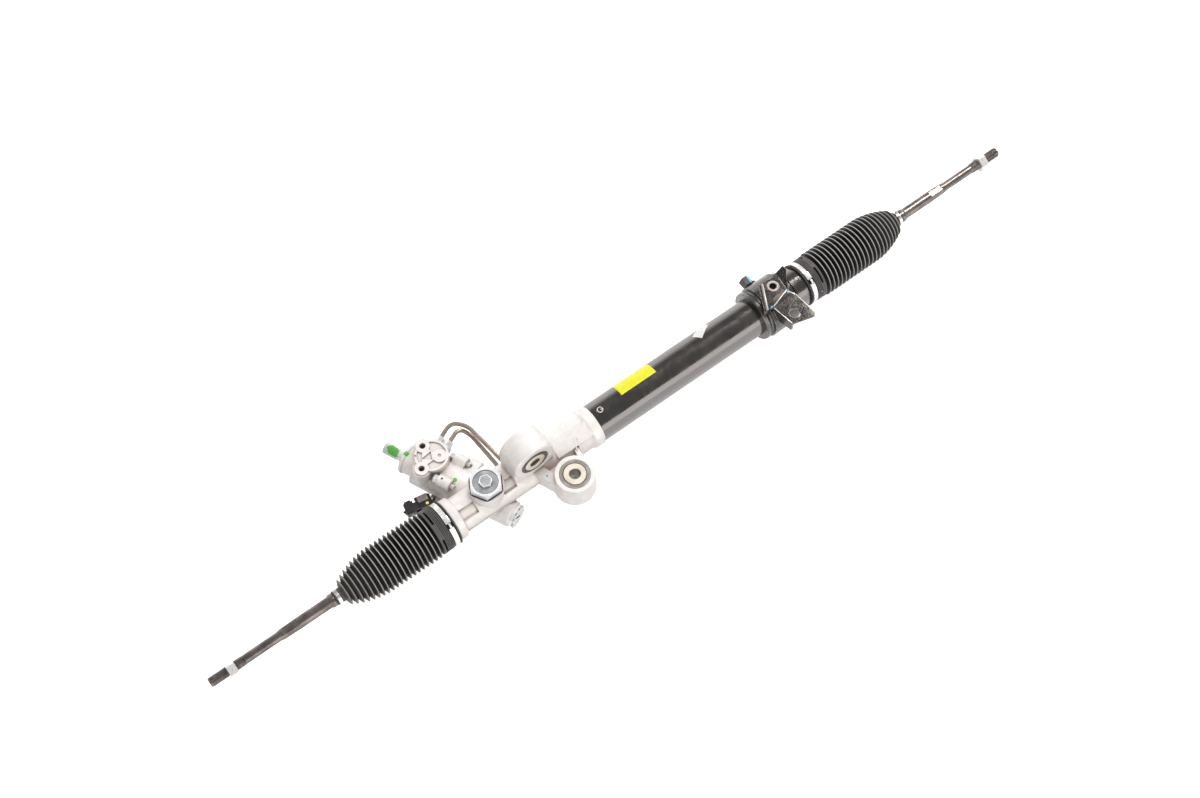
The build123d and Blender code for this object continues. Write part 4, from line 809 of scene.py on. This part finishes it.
# %% Tie rods
THREAD_START, THREAD_PITCH, TURN_STEPS, THREAD_TURNS = 576.6, 1.5, 28, 31
BALL_MIDDLE, BALL_RADIUS = 380, 11.5
FLATS_START, FLATS_END, FLATS_HALF = 502.9, 523.1, 5.8
RIDGE = [(0.03, 5.85), (0.62, 6.88), (0.88, 6.88), (1.47, 5.85)]
for name, (side, _, _, boot_end, *_) in boot_sides.items():
    ball = [(BALL_MIDDLE - BALL_RADIUS * math.cos(math.radians(angle)),
             BALL_RADIUS * math.sin(math.radians(angle))) for angle in range(0, 149, 6)]
    shank = [(392, 6.0), (398, 7.5), (boot_end - 1, 7.5), (boot_end, 6.7), (boot_end + 9, 6.7),
             (boot_end + 9.7, 8.7), (boot_end + 10.2, 9.0), (boot_end + 14.6, 9.0),
             (boot_end + 15.2, 8.7), (boot_end + 17, 7.5), (502.7, 7.5), (503, 7.5), (523, 7.1),
             (523.3, 7.1), (526, 7.0), (530, 6.1), (574, 6.1), (576.5, 5.95), (624.5, 5.95),
             (625.5, 5.1), (625.5, 0)]
    rod = spun([(side * along, radius) for along, radius in ball + shank], 64)
    for vertex in rod.verts:
        if FLATS_START < abs(vertex.co.x) < FLATS_END:
            vertex.co.z = max(-FLATS_HALF, min(FLATS_HALF, vertex.co.z))
    ridge, section = outlined([(side * (THREAD_START + along), radius) for along, radius in RIDGE])
    bmesh.ops.spin(ridge, geom=section, cent=(0, 0, 0), axis=(1, 0, 0),
                   angle=math.tau * THREAD_TURNS, steps=TURN_STEPS * THREAD_TURNS,
                   dvec=(side * THREAD_PITCH / TURN_STEPS, 0, 0))
    close_holes(ridge)
    bmesh.ops.recalc_face_normals(ridge, faces=ridge.faces)
    tie_rod = settle(joined(rod, ridge), f"{name}_threaded_rod", "rod_steel")
    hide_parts(f"{name}_tie_rod")
    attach(tie_rod, f"{name}_rod")

# %% [markdown]
# ## Bush faces
# A lip of rubber is moulded over the end of each bush, out to its steel shell. All four lips are
# the same turned ring, stood on the faces of the two mounting lugs. The lower pair is dusty.

# %% Bush faces
LIP = [(0, 15.0), (0, 19.4), (2.1, 19.4), (2.4, 19.1), (2.4, 17.4), (1.9, 17.2), (1.9, 16.8),
       (2.5, 16.6), (2.5, 15.5), (2.1, 15.1)]
bush_faces = {"lower": ("bush_face", [((0, 0, 1), (-130.5, -52.6, 27.9)),
                                      ((0, 0, -1), (-130.5, -52.6, -1.9))]),
              "upper": ("bush_rubber", [((0, -1, 0), (-165, -15.9, 50)),
                                        ((0, 1, 0), (-165, 15.9, 50))])}
for name, (finish, faces) in bush_faces.items():
    shapes = [stood(spun(LIP, 64), towards, place) for towards, place in faces]
    lips = settle(joined(*shapes), f"{name}_bush_lips", finish)
    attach(lips, "housing")

# %% [markdown]
# ## Hexagon on the yoke plug
# The plug is turned with a small raised hexagon. A six-sided circle is filled and pulled up, its
# edges are bevelled, and the top is inset and sunk a little, as a forged head is. Under the lock
# nut a dark sheet draws a thin dark line round its foot: the same circle, wider, with its corners
# rounded.

# %% Hexagon
YOKE_ALONG, PLUG_TOP, NUT_FOOT = -226.5, 40.5, 33.0


def pull_up(shape, height):
    """A flat shape pulled up into a prism."""
    pulled = bmesh.ops.extrude_face_region(shape, geom=shape.faces[:])["geom"]
    bmesh.ops.translate(shape, vec=(0, 0, height),
                        verts=[part for part in pulled if isinstance(part, bmesh.types.BMVert)])


hexagon = bmesh.new()
bmesh.ops.create_circle(hexagon, cap_ends=True, segments=6, radius=8.85)
pull_up(hexagon, 5.2)
bmesh.ops.bevel(hexagon, geom=hexagon.edges[:], offset=0.7, segments=2, profile=0.5,
                affect="EDGES", material=-1)
top = [face for face in hexagon.faces if face.normal.z > 0.99]
bmesh.ops.inset_region(hexagon, faces=top, thickness=1.6, depth=-0.5)
turned(hexagon, 10, "Z")
bmesh.ops.translate(hexagon, vec=(YOKE_ALONG, 0, PLUG_TOP), verts=hexagon.verts)
bmesh.ops.recalc_face_normals(hexagon, faces=hexagon.faces)
plug_hexagon = settle(hexagon, "plug_hexagon", "nut_steel")
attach(plug_hexagon, "housing")

# %% Dark line under the lock nut
nut_outline = bmesh.new()
bmesh.ops.create_circle(nut_outline, cap_ends=True, segments=6, radius=23.4)
bmesh.ops.bevel(nut_outline, geom=nut_outline.verts[:], offset=2.5, segments=4, profile=0.5,
                affect="VERTICES", material=-1)
turned(nut_outline, 30, "Z")
pull_up(nut_outline, 0.9)
bmesh.ops.translate(nut_outline, vec=(YOKE_ALONG, 0, NUT_FOOT), verts=nut_outline.verts)
bmesh.ops.recalc_face_normals(nut_outline, faces=nut_outline.faces)
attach(settle(nut_outline, "lock_nut_outline", "seal_rubber"), "housing")

# %% [markdown]
# ## Face of the pinion cap
# The cap under the pinion is a disc with a notched rim for a pin spanner and one slot. The rim is
# a turned ring with twelve notches, where two of every six of its corners are drawn in. The
# middle is two half discs with the slot left open between them, and a dark bar in its bottom is
# painted shade.

# %% Pinion cap face
PINION_SKEW = math.radians(23.8)
PINION_WAY = Vector((-math.sin(PINION_SKEW), math.cos(PINION_SKEW), 0))
CAP_PLACE = Vector((YOKE_ALONG, 0, -18)) - PINION_WAY * 41.9
NOTCH_FLOOR, NOTCH_DEGREES, SLOT_HALF = 13.3, 9, 1.5
rim = spun([(0, 6.9), (0, 15.3), (1.2, 15.3), (1.6, 14.9), (1.6, 13.4), (1.2, 13.0), (1.2, 6.9)],
           72)
for vertex in rim.verts:
    angle = math.degrees(math.atan2(vertex.co.y, vertex.co.z)) % 30
    if vertex.co.yz.length > NOTCH_FLOOR and angle < NOTCH_DEGREES:
        vertex.co.yz *= NOTCH_FLOOR / vertex.co.yz.length
bmesh.ops.dissolve_degenerate(rim, dist=0.01, edges=rim.edges)
halves = []
for half in (-1, 1):
    disc = spun([(0, 0), (0, 7.0), (1.2, 7.0), (1.2, 0)], 48)
    bmesh.ops.bisect_plane(disc, geom=disc.verts[:] + disc.edges[:] + disc.faces[:],
                           plane_co=(0, half * SLOT_HALF, 0), plane_no=(0, -half, 0),
                           clear_outer=True)
    bmesh.ops.dissolve_degenerate(disc, dist=0.01, edges=disc.edges)
    close_holes(disc)
    halves.append(disc)
# painted shade: a dark bar in the slot's bottom
slot_floor = bmesh.new()
bmesh.ops.create_cube(slot_floor, size=1)
bmesh.ops.scale(slot_floor, vec=(0.5, 2.9, 12.4), verts=slot_floor.verts)
steel("cap_steel", (0.74, 0.76, 0.77), (0.58, 0.61, 0.62), 0.34, 0.3, wear=(0.92, 0.93, 0.94),
      painted_shade_share=1.0)
for name, shape, finish in (("pinion_cap_face", joined(rim, *halves), "cap_steel"),
                            ("pinion_cap_slot", slot_floor, "seal_rubber")):
    turned(shape, 45, "X")
    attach(settle(stood(shape, -PINION_WAY, CAP_PLACE), name, finish), "housing")

# %% [markdown]
# ## Ribs beside the collar
# Two thin ribs stiffen the corner between the barrel and the lower lug. Each is a cube drawn out
# into a bar between two places, with its edges rounded.

# %% Ribs
def bar(start, end, width, height):
    """A bar with rounded edges between two places."""
    start, end = Vector(start), Vector(end)
    shape = bmesh.new()
    bmesh.ops.create_cube(shape, size=1)
    bmesh.ops.scale(shape, vec=((end - start).length, width, height), verts=shape.verts)
    bmesh.ops.bevel(shape, geom=shape.edges[:], offset=0.5, segments=3, profile=0.5,
                    affect="EDGES", material=-1)
    return stood(shape, (end - start).normalized(), (start + end) / 2)


RIB_WIDTH, RIB_HEIGHT = 2.2, 4
ribs = settle(joined(bar((-102.2, -9, 22.6), (-108, -31, 11), RIB_WIDTH, RIB_HEIGHT),
                     bar((-97.6, -11, 22.0), (-103.6, -33, 10), RIB_WIDTH, RIB_HEIGHT)),
              "corner_ribs", "cast_aluminium")
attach(ribs, "housing")

# %% [markdown]
# ## Bracket edges and nut
# Black paint is thin on sheared edges, and the far-end bracket shows bright lines there: bare
# steel, and a painted highlight where the edges and bends catch the light. Bars of bright steel
# run along its edges, a wider grey one along its fold is a painted highlight of the bend, and a
# turned ring is the rim of the nut pressed into its plate; its mid grey stands partly for the
# bright arcs on that rim, a painted highlight.
# The same bar makes the metal tab over the harness connector.

# %% Bracket edges
# bright edge bars: bare worn steel, lightened as a painted highlight
steel("worn_and_highlit_steel", (0.95, 0.93, 0.90), (0.70, 0.66, 0.61), 0.26, 0.3, size=500,
      wear=(0.98, 0.97, 0.95))
steel("tab_steel", (0.36, 0.32, 0.30), (0.24, 0.21, 0.20), 0.34, 0.5)
# painted highlight: a grey bar along the bracket's bend
fold_highlight_bar = bar((200.4, -19.6, 38.9), (219.4, 14.4, 38.9), 3.4, 1.7)
worn_and_highlit_edges = [((210.0, -21.5, 37.3), (214.3, -53.2, 37.3)),
              ((240.0, -12.5, 37.3), (245.0, -22.4, 37.3)),
              ((245.1, -22.4, 37.3), (247.7, -57.4, 37.3)),
              ((210.2, -20.3, 39.3), (239.4, -11.2, 39.3))]
edge_bars = [bar(start, end, 1.3, 0.9) for start, end in worn_and_highlit_edges]
# the rim's mid grey stands partly for its bright arcs, a painted highlight
nut_rim = stood(spun([(0, 4.4), (0, 8.1), (1.6, 8.1), (2.1, 7.5), (2.1, 5.2), (1.4, 4.6)], 48),
                (0, 0, 1), (227.7, 2.8, 39.5))
for name, shape, finish in (("bracket_edges", joined(*edge_bars), "worn_and_highlit_steel"),
                            ("bracket_fold", fold_highlight_bar, "tab_steel"),
                            ("bracket_nut_rim", nut_rim, "tab_steel")):
    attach(settle(shape, name, finish), "housing")
tab = settle(bar((-297.5, 50.6, -9.2), (-284.5, 48.0, -9.2), 9, 1.2), "connector_tab",
             "tab_steel")
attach(tab, "housing")

# %% [markdown]
# ## Stickers on the tube
# Two bare stickers are stuck on the tube: a yellow one along it and a small white one askew. A
# sticker is a flat grid that is turned, shifted and then rolled round the tube: how far a vertex
# lies to the side becomes its angle. A solidify modifier gives the film its thickness.

# %% Stickers
STICKER_RADIUS, FILM_THICKNESS = 26.1, 0.1


def tube_sticker(name, along, over, length, width, tilt, finish):
    """A sticker rolled on the tube, its middle at a place along and over the tube."""
    film = bmesh.new()
    bmesh.ops.create_grid(film, x_segments=24, y_segments=24, size=0.5)
    bmesh.ops.scale(film, vec=(length, width, 1), verts=film.verts)
    turned(film, tilt, "Z")
    for vertex in film.verts:
        angle = (vertex.co.y + over) / STICKER_RADIUS
        vertex.co = (vertex.co.x + along, STICKER_RADIUS * math.sin(angle),
                     STICKER_RADIUS * math.cos(angle))
    piece = settle(film, name, finish)
    thickness = piece.modifiers.new("thickness", "SOLIDIFY")
    thickness.thickness, thickness.offset = FILM_THICKNESS * MM, 0
    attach(piece, "housing")


def film_finish(name, colour, shade):
    """A satin printed film with a faint mottle."""
    tree, place, _ = start_finish(name, 0.05, 0.01, metallic=0.0, specular_ior_level=0.5)
    mottle = noise(tree, place, 240, 3)
    end_finish(name, mix_colour(tree, spread(tree, mottle, 0.3, 0.7), colour, shade), 0.38, mottle)


film_finish("yellow_film", (0.86, 0.84, 0.02), (0.78, 0.74, 0.015))
film_finish("white_film", (0.85, 0.85, 0.84), (0.70, 0.70, 0.69))
tube_sticker("yellow_label", along=9.5, over=12.6, length=55, width=23.9, tilt=0,
             finish="yellow_film")
tube_sticker("white_label", along=120.2, over=16.9, length=26, width=13.5, tilt=34.6,
             finish="white_film")

# %% [markdown]
# ## Punch mark
# The tube is staked to the housing by one punch mark. It is a bright turned ring with a dark dome
# in its middle, stood on top of the tube; the ring's brightness is a painted highlight on the
# mark's rim.

# %% Punch mark
MARK_PLACE = (-51.8, 0.8, 25.3)
# painted highlight: the bright zinc ring stands for light on the mark's rim
mark_ring = spun([(0, 2.9), (0.8, 3.0), (1.05, 3.4), (1.0, 3.9), (0.6, 4.2), (0, 4.3)], 40)
mark_dome = spun([(0, 0), (0, 2.7), (0.9, 2.4), (1.3, 1.6), (1.5, 0.8), (1.55, 0)], 40)
for name, shape, finish in (("mark_ring", mark_ring, "zinc_steel"),
                            ("mark_dome", mark_dome, "tube_paint")):
    mark = settle(stood(shape, (0, 0, 1), MARK_PLACE), name, finish)
    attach(mark, "housing")

# %% [markdown]
# ## Size and finish
# The dressed rack must keep the CAD model's size.
